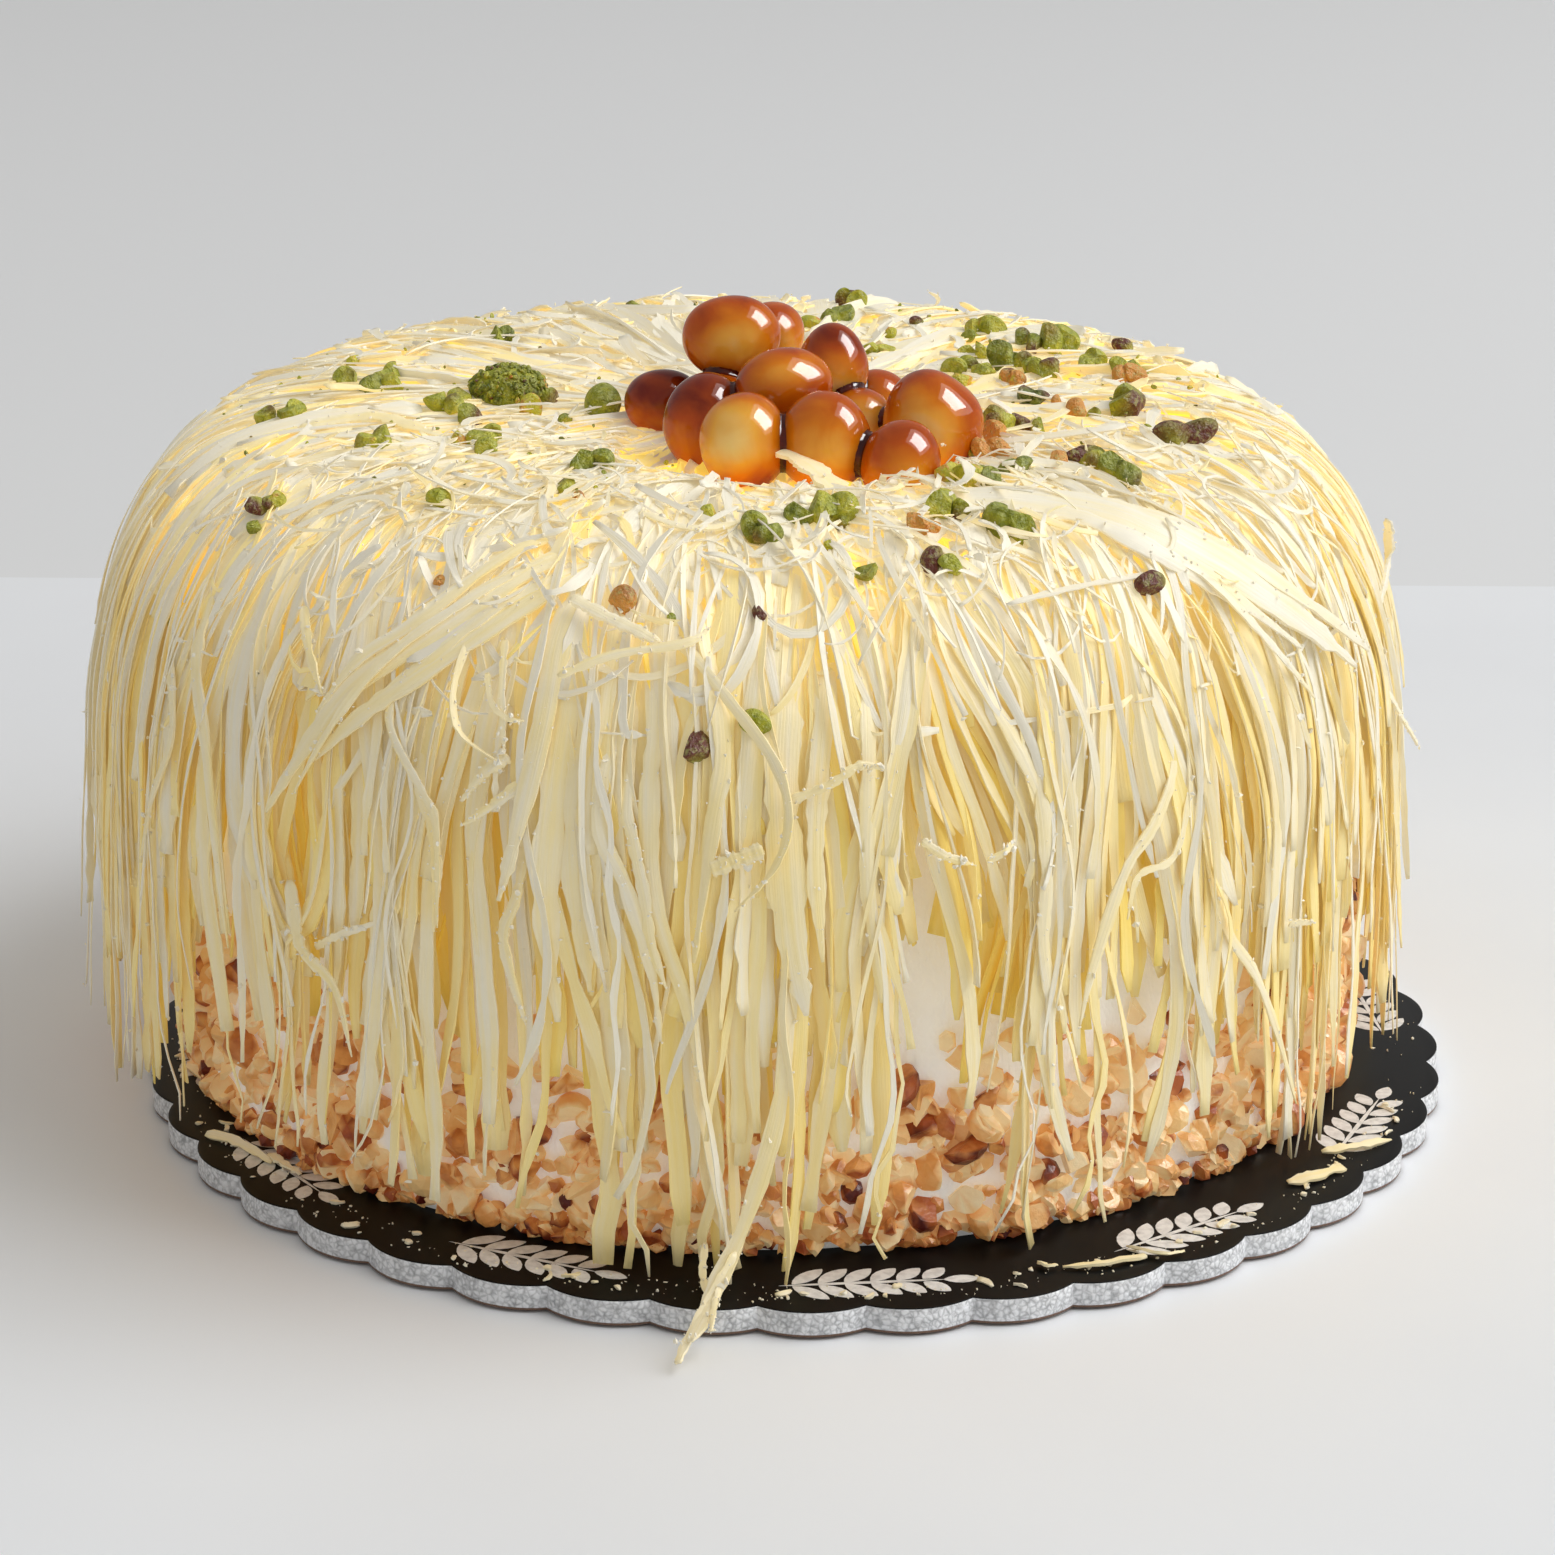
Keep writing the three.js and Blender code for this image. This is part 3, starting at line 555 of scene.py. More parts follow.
def lying(dice, *, count, middle_way, arc, length, width, spread, lift, rows, section=SLIM, tone_and_painted_glow,
          bend=0.15, tilt=0.0, cup=0.0, ragged=0.07):
    """Strands that lie on the top, each turned a little from pointing outward."""
    row = np.linspace(-0.5, 0.5, rows)[None]
    aim = dice.uniform(math.radians(arc[0]), math.radians(arc[1]), (count, 1))
    out = np.sqrt(dice.uniform(middle_way[0] ** 2, middle_way[1] ** 2, (count, 1)))
    reach = np.exp(dice.uniform(math.log(length[0]), math.log(length[1]), (count, 1)))
    heading = aim + dice.normal(0, spread, (count, 1))
    curve = dice.normal(0, bend, (count, 1))
    turned = heading + curve * row * 2
    x = out * np.cos(aim) + reach * np.cumsum(np.cos(turned), 1) / rows
    y = out * np.sin(aim) + reach * np.cumsum(np.sin(turned), 1) / rows
    x -= (x[:, :1] + x[:, -1:]) / 2 - out * np.cos(aim)
    y -= (y[:, :1] + y[:, -1:]) / 2 - out * np.sin(aim)
    angle = np.arctan2(y, x)
    way = way_to_radius(np.hypot(x, y))
    level = dice.uniform(*lift, (count, 1))
    raised = level + dice.normal(0, 1, (count, 1)) * tilt * row * 2 + wander(dice, way, 0.25)
    points, normals = coat_place(angle, way, raised)
    to_nuts = np.hypot(points[..., 0] - NUTS_MIDDLE[0], points[..., 1] - NUTS_MIDDLE[1])
    points[..., 2] = np.minimum(points[..., 2], np.interp(to_nuts, [34, 46], [NUTS_BED, 150]))
    widths = np.exp(dice.uniform(math.log(width[0]), math.log(width[1]), count))
    half, thick = strand_sizes(dice, count, rows, widths, ragged, tail=(0.03, 0.22))
    roll = dice.normal(0, 0.35, (count, 1)) + dice.normal(0, 0.5, (count, 1)) * row
    # Lower strands get a higher tone: yellower, with more painted glow, a painted stand-in for shade and
    # light shining through.
    deep = (lift[1] - level) / (lift[1] - lift[0]) * 0.5 - 0.2
    tones = np.clip(dice.normal(tone_and_painted_glow[0], tone_and_painted_glow[1], (count, 1)) + deep + 0 * row, 0, 1)
    return ribbons(dice, points, normals, half, thick, roll, tones, section, cup)


def smooth_route(stops, rows):
    """An even curve through a few stops."""
    stops = np.array(stops, float)
    padded = np.vstack([2 * stops[0] - stops[1], stops, 2 * stops[-1] - stops[-2]])
    t = np.linspace(0, len(stops) - 1 - 1e-9, rows)
    i = t.astype(int)
    f = (t - i)[:, None]
    a, b, c, d = padded[i], padded[i + 1], padded[i + 2], padded[i + 3]
    curve = 2 * b + (c - a) * f + (2 * a - 5 * b + 4 * c - d) * f ** 2
    return 0.5 * (curve + (3 * b - a - 3 * c + d) * f ** 3)


def placed_strand(dice, pixels, width, lift, tail=0.3, stub=0.14, turn=(0.0, 0.0), tone_and_painted_glow=0.2, thick=None,
                  section=BROAD, cup=0.3):
    """A strand that stands out in the picture, along the pixels where it shows."""
    rows = 36
    stops = [seen_on_coat(px, py) for px, py in pixels]
    route = smooth_route(stops, rows)
    row = np.linspace(0, 1, rows)
    raised = np.interp(row, np.linspace(0, 1, len(lift)), lift)
    points, normals = coat_place(route[:, 0], route[:, 1], raised)
    points[:, 2] = np.maximum(points[:, 2], BOARD_THICKNESS + 0.8)
    share = tapered(dice, 1, rows, (0.03, 0.04), (tail, tail + 0.01), 0.09, (stub, stub + 0.01))
    half = 0.42 * width * share
    body = np.minimum((thick or 0.1 + 0.035 * width) * (0.6 + 0.4 * share), half * 0.8)
    roll = np.interp(row, [0, 1], turn)[None] + wander(dice, route[None, :, 1], 0.25)
    tones = np.full((1, rows), tone_and_painted_glow)
    return ribbons(dice, points[None], normals[None], half, body, roll, tones, section, cup)


# ---------------------------------------------------------------- materials


def new_finish(name):
    """An empty material with its shader."""
    finish = bpy.data.materials.new(name)
    finish.use_nodes = True
    return finish


def shader_of(finish):
    """The material's shader node."""
    return finish.node_tree.nodes["Principled BSDF"]


def add_node(finish, kind, inputs=None, **settings):
    """A node whose inputs are numbers, or what another node gives."""
    node = finish.node_tree.nodes.new(kind)
    for setting, value in settings.items():
        setattr(node, setting, value)
    for socket, value in (inputs or {}).items():
        if isinstance(value, bpy.types.NodeSocket):
            finish.node_tree.links.new(value, node.inputs[socket])
        else:
            node.inputs[socket].default_value = value
    return node


def plug(finish, source, socket):
    """Leads what a node gives into the shader."""
    finish.node_tree.links.new(source, shader_of(finish).inputs[socket])


def linear(value):
    """One channel, given as 0 to 255, as linear light."""
    value /= 255
    return value / 12.92 if value <= 0.04045 else ((value + 0.055) / 1.055) ** 2.4


def colour(red, green, blue):
    """A colour given as 0 to 255, as linear light."""
    return (linear(red), linear(green), linear(blue), 1.0)


def ramp(finish, factor, stops):
    """Colours at stops from 0 to 1."""
    node = add_node(finish, "ShaderNodeValToRGB", {"Fac": factor})
    elements = node.color_ramp.elements
    while len(elements) < len(stops):
        elements.new(0.5)
    for element, (place, tint) in zip(elements, stops):
        element.position = place
        element.color = tint
    return node.outputs["Color"]


def noise(finish, vector, scale, detail=2.0, roughness=0.5, distortion=0.0):
    """Cloudy noise from 0 to 1, with so many clouds to a metre."""
    inputs = {
        "Vector": vector, "Scale": scale, "Detail": detail, "Roughness": roughness, "Distortion": distortion,
    }
    return add_node(finish, "ShaderNodeTexNoise", inputs).outputs["Fac"]


def stretched(finish, vector, scale):
    """A place stretched or squeezed along its axes, so that the noise on it gets long."""
    return add_node(finish, "ShaderNodeMapping", {"Vector": vector, "Scale": scale}).outputs[0]


def maths(finish, operation, first, second=0.5, third=0.5):
    """A sum of what other nodes give, or of numbers."""
    return add_node(finish, "ShaderNodeMath", {0: first, 1: second, 2: third}, operation=operation).outputs[0]


def swayed(finish, value, by, most):
    """A value moved up and down around itself by a noise."""
    return maths(finish, "MULTIPLY_ADD", maths(finish, "SUBTRACT", by, 0.5), most, value)


def mixed(finish, factor, first, second):
    """One colour where the factor is 0, another where it is 1."""
    node = add_node(finish, "ShaderNodeMix", data_type="RGBA")
    for socket, value in ((node.inputs[0], factor), (node.inputs[6], first), (node.inputs[7], second)):
        if isinstance(value, bpy.types.NodeSocket):
            finish.node_tree.links.new(value, socket)
        else:
            socket.default_value = value
    return node.outputs[2]


def place_on_object(finish):
    """Where on the piece a point is, in metres."""
    return add_node(finish, "ShaderNodeTexCoord").outputs["Object"]


def height_on_object(finish):
    """How high on the piece a point is, in metres."""
    return add_node(finish, "ShaderNodeSeparateXYZ", {"Vector": place_on_object(finish)}).outputs["Z"]


def mark(finish, name, output="Fac"):
    """What mark_points wrote on the piece."""
    return add_node(finish, "ShaderNodeAttribute", attribute_name=name).outputs[output]


def bumped(finish, height, strength, distance, under=None):
    """A bump, over another one if there is one."""
    inputs = {"Height": height, "Strength": strength, "Distance": distance}
    if under is not None:
        inputs["Normal"] = under
    return add_node(finish, "ShaderNodeBump", inputs).outputs["Normal"]


def set_shader(finish, **values):
    """Values that are the same all over, each on the shader's own socket."""
    shader = shader_of(finish)
    for socket, value in values.items():
        shader.inputs[socket.replace("_", " ")].default_value = value


def painted_glow(finish):
    """A painted glow: the pale food gives out light, standing in for light that passes through it. It is too
    weak for the renderer to aim at.
    """
    finish.cycles.emission_sampling = "NONE"


def white_chocolate():
    """Shaved white chocolate: ivory, waxy, with the blade's grooves along every strand, and a painted glow
    that is strongest on the top and in the deep, yellow strands.
    """
    finish = new_finish("white_chocolate")
    grain = mark(finish, "grain", "Vector")
    grooves = stretched(finish, grain, (3.2, 0.04, 3.0))
    streaks = stretched(finish, grain, (0.8, 0.03, 3.0))
    cloud = noise(finish, place_on_object(finish), 55.0, 2.0)
    streak = noise(finish, streaks, 1.0, 3.0)
    tone_and_painted_glow = swayed(finish, mark(finish, "tone_and_painted_glow"), streak, 0.5)
    tone_and_painted_glow = swayed(finish, tone_and_painted_glow, cloud, 0.4)
    tint = ramp(finish, tone_and_painted_glow, [
        (0.0, colour(248, 241, 220)),
        (0.3, colour(254, 234, 172)),
        (0.65, colour(253, 226, 128)),
        (1.0, colour(253, 220, 92)),
    ])
    plug(finish, tint, "Base Color")
    # The strands give out their own tint as a painted glow, stronger on the top and the higher their tone.
    plug(finish, tint, "Emission Color")
    glow_rises_on_top = {"Value": height_on_object(finish), "From Min": 100 * MM, "From Max": 130 * MM}
    high = add_node(finish, "ShaderNodeMapRange", glow_rises_on_top).outputs["Result"]
    strength = maths(finish, "MULTIPLY_ADD", high, 0.36, 0.1)
    painted_deep_glow = maths(finish, "MULTIPLY", mark(finish, "tone_and_painted_glow"), strength)
    painted_even_glow = maths(finish, "MULTIPLY_ADD", high, 0.06, 0.025)
    plug(finish, maths(finish, "ADD", painted_deep_glow, painted_even_glow), "Emission Strength")
    painted_glow(finish)
    crumbly = bumped(finish, noise(finish, place_on_object(finish), 1500.0, 3.0, 0.6), 0.1, 0.4 * MM)
    plug(finish, bumped(finish, noise(finish, grooves, 1.0, 3.0, 0.6), 0.4, 0.4 * MM, crumbly), "Normal")
    set_shader(finish, Roughness=0.44, Specular_IOR_Level=0.2)
    return finish


def chocolate_dust():
    """The white crumbs that the blade leaves on the shavings."""
    finish = new_finish("chocolate_dust")
    cloud = noise(finish, place_on_object(finish), 90.0, 2.0)
    tint = ramp(finish, cloud, [(0.3, colour(246, 237, 210)), (0.7, colour(251, 246, 230))])
    plug(finish, tint, "Base Color")
    set_shader(finish, Roughness=0.55, Specular_IOR_Level=0.4)
    return finish


def whipped_cream():
    """White cream, smeared by a palette knife, with a weak painted glow that lifts it where it lies in shade.
    """
    finish = new_finish("whipped_cream")
    spot = place_on_object(finish)
    smear = stretched(finish, spot, (1.0, 1.0, 0.45))
    cloud = noise(finish, smear, 60.0, 4.0)
    tint = ramp(finish, cloud, [(0.3, colour(240, 239, 230)), (0.7, colour(251, 251, 249))])
    plug(finish, tint, "Base Color")
    # A weak painted glow in the cream's own tint.
    plug(finish, tint, "Emission Color")
    painted_glow(finish)
    pores = bumped(finish, noise(finish, spot, 1300.0, 3.0), 0.25, 0.5 * MM)
    plug(finish, bumped(finish, noise(finish, smear, 170.0, 4.0, 0.55, 0.6), 0.6, 2 * MM, pores), "Normal")
    set_shader(finish, Roughness=0.6, Specular_IOR_Level=0.3, Emission_Strength=0.15)
    return finish


def chopped_nuts():
    """Roasted chopped nuts: pale where cut, browned outside, with scraps of dark skin, and a weak painted
    glow that lifts them in the shade of the strands.
    """
    finish = new_finish("chopped_nuts")
    spot = place_on_object(finish)
    patches = noise(finish, spot, 260.0, 3.0)
    roast = swayed(finish, mark(finish, "roast"), patches, 0.55)
    inside = ramp(finish, roast, [
        (0.05, colour(254, 234, 192)),
        (0.4, colour(250, 216, 158)),
        (0.7, colour(232, 172, 100)),
        (0.95, colour(176, 92, 40)),
    ])
    outside = ramp(finish, roast, [
        (0.1, colour(246, 204, 138)),
        (0.45, colour(226, 156, 84)),
        (0.75, colour(164, 78, 34)),
        (0.92, colour(84, 26, 18)),
    ])
    tint = mixed(finish, mark(finish, "skin"), inside, outside)
    plug(finish, tint, "Base Color")
    # A weak painted glow in the nuts' own tint.
    plug(finish, tint, "Emission Color")
    painted_glow(finish)
    plug(finish, bumped(finish, noise(finish, spot, 900.0, 4.0, 0.6), 0.4, 0.6 * MM), "Normal")
    set_shader(finish, Roughness=0.34, Specular_IOR_Level=0.4, Emission_Strength=0.1)
    return finish


def caramel_glaze():
    """Hazelnuts under clear caramel: ochre where the nut shows through, red-brown where the glaze is deep,
    and near black beside other nuts: partly deeper caramel, partly painted shade.
    """
    finish = new_finish("caramel_glaze")
    swirl = noise(finish, place_on_object(finish), 120.0, 3.0, 0.5, 0.8)
    pale = swayed(finish, mark(finish, "pale"), swirl, 0.4)
    body = ramp(finish, pale, [
        (0.08, colour(112, 26, 4)),
        (0.3, colour(184, 78, 4)),
        (0.52, colour(220, 126, 16)),
        (0.76, colour(242, 176, 66)),
        (1.0, colour(250, 218, 140)),
    ])
    # Near black beside other nuts: partly deeper caramel, partly painted shade.
    plug(finish, mixed(finish, mark(finish, "deep_caramel_and_painted_shade"), body, colour(48, 12, 12)), "Base Color")
    set_shader(finish, Roughness=0.3, Specular_IOR_Level=0.0, Subsurface_Weight=0.25, Subsurface_Scale=2 * MM,
               Subsurface_Radius=(1.0, 0.4, 0.12), Coat_Weight=1.0, Coat_Roughness=0.01, Coat_IOR=1.4)
    return finish


def set_caramel():
    """Caramel that has run into the crevices and set."""
    finish = new_finish("set_caramel")
    cloud = noise(finish, place_on_object(finish), 300.0, 2.0)
    plug(finish, ramp(finish, cloud, [(0.3, colour(52, 12, 12)), (0.7, colour(96, 30, 14))]), "Base Color")
    set_shader(finish, Roughness=0.3, Specular_IOR_Level=0.0, Coat_Weight=1.0, Coat_Roughness=0.01,
               Coat_IOR=1.4)
    return finish


def pistachio_green():
    """Chopped pistachios: bright green inside, with purple-brown skin on some sides."""
    finish = new_finish("pistachio_green")
    spot = place_on_object(finish)
    cloud = noise(finish, spot, 420.0, 3.0)
    hue = swayed(finish, mark(finish, "hue"), cloud, 1.1)
    flesh = ramp(finish, hue, [
        (0.05, colour(98, 110, 38)),
        (0.3, colour(142, 150, 42)),
        (0.55, colour(180, 182, 48)),
        (0.85, colour(220, 212, 66)),
        (1.0, colour(232, 160, 72)),
    ])
    dusty = ramp(finish, noise(finish, spot, 900.0, 4.0, 0.7), [(0.5, (0, 0, 0, 1)), (0.66, (1, 1, 1, 1))])
    dust = maths(finish, "MULTIPLY", dusty, 0.55)
    skinned = mixed(finish, mark(finish, "skin"), flesh, colour(112, 58, 44))
    plug(finish, mixed(finish, dust, skinned, colour(206, 208, 128)), "Base Color")
    pits = bumped(finish, noise(finish, spot, 1900.0, 3.0, 0.6), 0.7, 0.9 * MM)
    plug(finish, bumped(finish, noise(finish, spot, 520.0, 3.0, 0.55), 0.8, 2.2 * MM, pits), "Normal")
    set_shader(finish, Roughness=0.46, Specular_IOR_Level=0.3, Subsurface_Weight=0.1, Subsurface_Scale=1 * MM,
               Subsurface_Radius=(0.9, 1.0, 0.4))
    return finish


def board_card():
    """Black glazed card on top, crackled silver round the edge, a thin brown line at its foot."""
    finish = new_finish("board_card")
    spot = place_on_object(finish)
    height = height_on_object(finish)
    flakes = {"Vector": spot, "Scale": 900.0}
    crackle = add_node(finish, "ShaderNodeTexVoronoi", flakes, feature="DISTANCE_TO_EDGE").outputs["Distance"]
    mottled = maths(finish, "ADD", crackle, noise(finish, spot, 700.0, 3.0))
    silver = ramp(finish, mottled, [(0.35, colour(168, 169, 171)), (0.8, colour(236, 237, 239))])
    on_top = maths(finish, "GREATER_THAN", height, (BOARD_THICKNESS - 0.25) * MM)
    at_foot = maths(finish, "LESS_THAN", height, 0.55 * MM)
    sheen = noise(finish, spot, 40.0, 2.0)
    black = ramp(finish, sheen, [(0.3, colour(7, 7, 7)), (0.7, colour(12, 12, 12))])
    edge = mixed(finish, at_foot, silver, colour(120, 96, 82))
    plug(finish, mixed(finish, on_top, edge, black), "Base Color")
    rough = maths(finish, "MULTIPLY_ADD", on_top, -0.12, 0.5)
    plug(finish, rough, "Roughness")
    on_edge = maths(finish, "SUBTRACT", 1.0, maths(finish, "ADD", on_top, at_foot))
    plug(finish, maths(finish, "MULTIPLY", on_edge, 0.2), "Metallic")
    wrinkles = maths(finish, "MULTIPLY", mottled, maths(finish, "SUBTRACT", 1.0, on_top))
    plug(finish, bumped(finish, wrinkles, 0.5, 0.5 * MM), "Normal")
    set_shader(finish, Specular_IOR_Level=0.14)
    return finish


def white_print():
    """White ink on the board, a little flecked."""
    finish = new_finish("white_print")
    flecks = noise(finish, place_on_object(finish), 600.0, 3.0)
    tint = ramp(finish, flecks, [(0.25, colour(206, 206, 204)), (0.6, colour(240, 240, 238))])
    plug(finish, tint, "Base Color")
    set_shader(finish, Roughness=0.45)
    return finish


# ---------------------------------------------------------------- board


def scallop_radius(angle):
    """The board's outline: an arc between every two notches."""
    half_turn = math.pi / SCALLOPS
    half_chord = SCALLOP_CUSP * math.sin(half_turn)
    rise = SCALLOP_PEAK - SCALLOP_CUSP * math.cos(half_turn)
    arc = (half_chord ** 2 + rise ** 2) / (2 * rise)
    off = (angle - FIRST_CUSP) % (2 * half_turn) - half_turn
    centre = SCALLOP_PEAK - arc
    return centre * np.cos(off) + np.sqrt(arc ** 2 - (centre * np.sin(off)) ** 2)


def make_board():
    """The card board: a disc with a scalloped rim and softened edges."""
    deselect_all()
    bpy.ops.mesh.primitive_circle_add(vertices=SCALLOPS * 12, radius=SCALLOP_PEAK * MM, fill_type="NGON")
    board = bpy.context.object
    board.rotation_euler.z = FIRST_CUSP
    settle(board, "board_card")
    points = corner_points(board)
    angle = np.arctan2(points[:, 1], points[:, 0])
    reach = scallop_radius(angle)
    points[:, 0], points[:, 1] = reach * np.cos(angle), reach * np.sin(angle)
    move_points(board, points)
    draw_up(board, [BOARD_THICKNESS])
    sharp = math.radians(60)
    apply_modifier(board, "BEVEL", width=0.3 * MM, segments=2, limit_method="ANGLE", angle_limit=sharp)
    pick(board)
    bpy.ops.object.shade_smooth_by_angle(angle=math.radians(35))
    return board


def make_leaf(length, width, x, y, heading):
    """One flat leaf of the printed sprig, a hair thick."""
    deselect_all()
    bpy.ops.mesh.primitive_circle_add(vertices=16, radius=0.5, fill_type="NGON")
    leaf = bpy.context.object
    points = corner_points(leaf) * MM
    along = points[:, 0] * 2
    points[:, 1] *= (1 - along ** 2) ** 0.35 + 0.02
    turned_x = x + length * points[:, 0] * math.cos(heading) - width * points[:, 1] * math.sin(heading)
    turned_y = y + length * points[:, 0] * math.sin(heading) + width * points[:, 1] * math.cos(heading)
    move_points(leaf, np.stack([turned_x, turned_y, 0 * turned_x], 1))
    draw_up(leaf, [PRINT_THICKNESS])
    return leaf


def make_sprigs():
    """A plain leaf sprig, printed in white twelve times round the board."""
    leaves = [make_leaf(30, 0.9, 0, -0.2, 0.0)]
    for i, x in enumerate((-12, -7.5, -3, 1.5, 6, 10.5)):
        size = 8.2 - 0.45 * i
        leaves.append(make_leaf(size, 3.2, x + 2.4, 3.0 - 0.12 * i, 0.75))
        leaves.append(make_leaf(size, 3.2, x + 2.4, -3.4 + 0.12 * i, -0.75))
    leaves.append(make_leaf(6.5, 3.0, 17.6, -0.2, 0.0))
    sprig = settle(join_all(leaves), "printed_sprig")
    shape = corner_points(sprig)
    faces = triangles_of(sprig)
    batches = []
    for i in range(SPRIGS):
        angle = math.radians(-144 + 360 / SPRIGS * i)
        side = np.array([-math.sin(angle), math.cos(angle), 0])
        inward = np.array([-math.cos(angle), -math.sin(angle), 0])
        up = np.array([0, 0, 1])
        middle = -SPRIG_RADIUS * inward + (BOARD_THICKNESS + 0.01) * up
        points = middle + shape[:, :1] * side + shape[:, 1:2] * inward + shape[:, 2:] * up
        batches.append({"points": points, "faces": [faces], "marks": {}})
    bpy.data.objects.remove(sprig)
    return piece_from("printed_sprigs", joined(batches), smooth=False)


# ---------------------------------------------------------------- cream and crust


def make_cream():
    """The cream's wall and rounded shoulder, drawn up ring by ring and smeared."""
    deselect_all()
    bpy.ops.mesh.primitive_circle_add(
        vertices=288, radius=CREAM_RADIUS * MM, fill_type="NGON",
        location=(CREAM_CENTRE[0] * MM, CREAM_CENTRE[1] * MM, CREAM_LINE[0][1] * MM),
    )
    cream = settle(bpy.context.object, "cream")
    line = np.array(CREAM_LINE, float)
    rings = np.concatenate([line[:1, 1], np.arange(9, 84, 3.0), np.arange(86, 122, 2.0), line[-1:, 1]])
    draw_up(cream, np.diff(rings), close_top=True)
    points = corner_points(cream)
    dx, dy = points[:, 0] - CREAM_CENTRE[0], points[:, 1] - CREAM_CENTRE[1]
    angle, reach = np.arctan2(dy, dx), np.hypot(dx, dy)
    smear = (np.sin(angle * 23 + points[:, 2] * 0.11) + np.sin(angle * 41 - points[:, 2] * 0.19 + 1)
             + np.sin(angle * 9 + points[:, 2] * 0.31 + 2))
    wall = np.interp(points[:, 2], line[:, 1], line[:, 0]) - 0.5 + smear * 0.22
    middle = reach < 1
    wall[middle] = 0
    points[:, 0] = CREAM_CENTRE[0] + wall * np.cos(angle)
    points[:, 1] = CREAM_CENTRE[1] + wall * np.sin(angle)
    points[middle & (points[:, 2] > 60), 2] = CREAM_CROWN
    move_points(cream, points)
    pick(cream)
    bpy.ops.object.shade_smooth()
    return cream


SKIN_RADIUS = 0.485                  # a kernel one across still has its skin beyond it


def chop(dice, subdivisions, cuts, stretch=(1, 1, 1), depth=(0.12, 0.34)):
    """A kernel cut with a knife a few times: its points, triangles and which points are still on its skin."""
    deselect_all()
    bpy.ops.mesh.primitive_ico_sphere_add(subdivisions=subdivisions, radius=0.5)
    kernel = bpy.context.object
    bpy.ops.object.mode_set(mode="EDIT")
    for _ in range(cuts):
        bpy.ops.mesh.select_all(action="SELECT")
        direction = Vector(dice.normal(size=3)).normalized()
        off = dice.uniform(*depth)
        bpy.ops.mesh.bisect(plane_co=direction * off, plane_no=direction, use_fill=True, clear_outer=True)
    bpy.ops.mesh.select_all(action="SELECT")
    bpy.ops.mesh.quads_convert_to_tris()
    bpy.ops.object.mode_set(mode="OBJECT")
    points = corner_points(kernel) * MM
    faces = triangles_of(kernel)
    skin = (np.linalg.norm(points, axis=1) > SKIN_RADIUS).astype(float)
    bpy.data.objects.remove(kernel)
    return points * np.array(stretch), faces, skin


WALL_TRIES = 2750                    # pieces pressed into the cream; some near the upper edge are left out
FOOT_TRIES = 750                     # small ones that fill the foot


def make_crust():
    """Chopped nuts pressed into the cream round the foot."""
    dice = np.random.default_rng(31)
    chunks = [chop(dice, 2, int(dice.integers(4, 8)), dice.uniform(0.7, 1.15, 3)) for _ in range(32)]
    chips = [chop(dice, 1, int(dice.integers(2, 5)), dice.uniform(0.8, 1.2, 3)) for _ in range(24)]
    batches = []
    for number in range(WALL_TRIES + FOOT_TRIES):
        at_foot = number >= WALL_TRIES
        angle = dice.uniform(-math.pi, math.pi)
        size = float(np.exp(dice.uniform(math.log(3.0), math.log(4.5 if at_foot else 9.0))))
        share = dice.random() ** 1.25 * (0.1 if at_foot else 1.0)
        height = BOARD_THICKNESS + 0.3 + size * (0.12 if at_foot else 0.36) + (CRUST_TOP - 9) * share
        left_out = share > 0.8 and dice.random() < 0.55
        if left_out:
            continue
        kinds = chips if size < 5.2 else chunks
        points, faces, skin = kinds[int(dice.integers(len(kinds)))]
        reach = CREAM_RADIUS + dice.uniform(-0.16, 0.16) * size + 0.4
        x = CREAM_CENTRE[0] + reach * math.cos(angle)
        y = CREAM_CENTRE[1] + reach * math.sin(angle)
        placed = points @ any_turn(dice).T * size + np.array([x, y, height])
        placed[:, 2] = np.maximum(placed[:, 2], BOARD_THICKNESS + 0.3)
        roast = dice.uniform(0.4, 1.0) if at_foot else float(dice.beta(1.2, 1.9))
        marks = {"skin": skin, "roast": np.full(len(points), roast)}
        batches.append({"points": placed, "faces": [faces], "marks": marks})
    return piece_from("nut_crust", joined(batches), smooth=False)


# ---------------------------------------------------------------- hazelnuts and caramel

GLAZE = 0.7                          # thickness of the caramel all round a nut
BROWNER_NUTS = (3, 4)                # the two at the left, darker all over

# Where the pale kernel shows through the glaze of each nut, and how strongly.
PALE_SIDES = [
    ((0.1, -0.8, 0.0), 0.42), ((0.4, -0.8, 0.0), 0.4), ((-0.1, -0.7, -0.5), 0.1), ((-0.6, -0.5, -0.6), 0.12),
    ((0.0, -0.8, 0.4), 0.24), ((-0.3, -0.9, 0.4), 0.72), ((-0.1, -0.9, 0.0), 0.42), ((0.0, -0.9, -0.3), 0.62),
    ((0.2, -0.9, 0.0), 0.24), ((0.2, -0.9, 0.2), 0.55), ((-0.4, -0.9, 0.0), 0.58), ((0.2, -0.8, -0.4), 0.36),
    ((0.3, 0.8, 0.1), 0.4), ((-0.2, 0.9, 0.2), 0.5), ((0.1, 0.9, -0.1), 0.4),
]


def nut_reach(direction, size, point):
    """How far the nut's surface is from its middle in each direction."""
    tip = np.array(point, float)
    length = np.linalg.norm(tip)
    towards = np.maximum(direction @ (tip / length), 0)
    return 0.5 * (1 + 0.14 * length * towards ** 4)[:, None] * np.array(size)


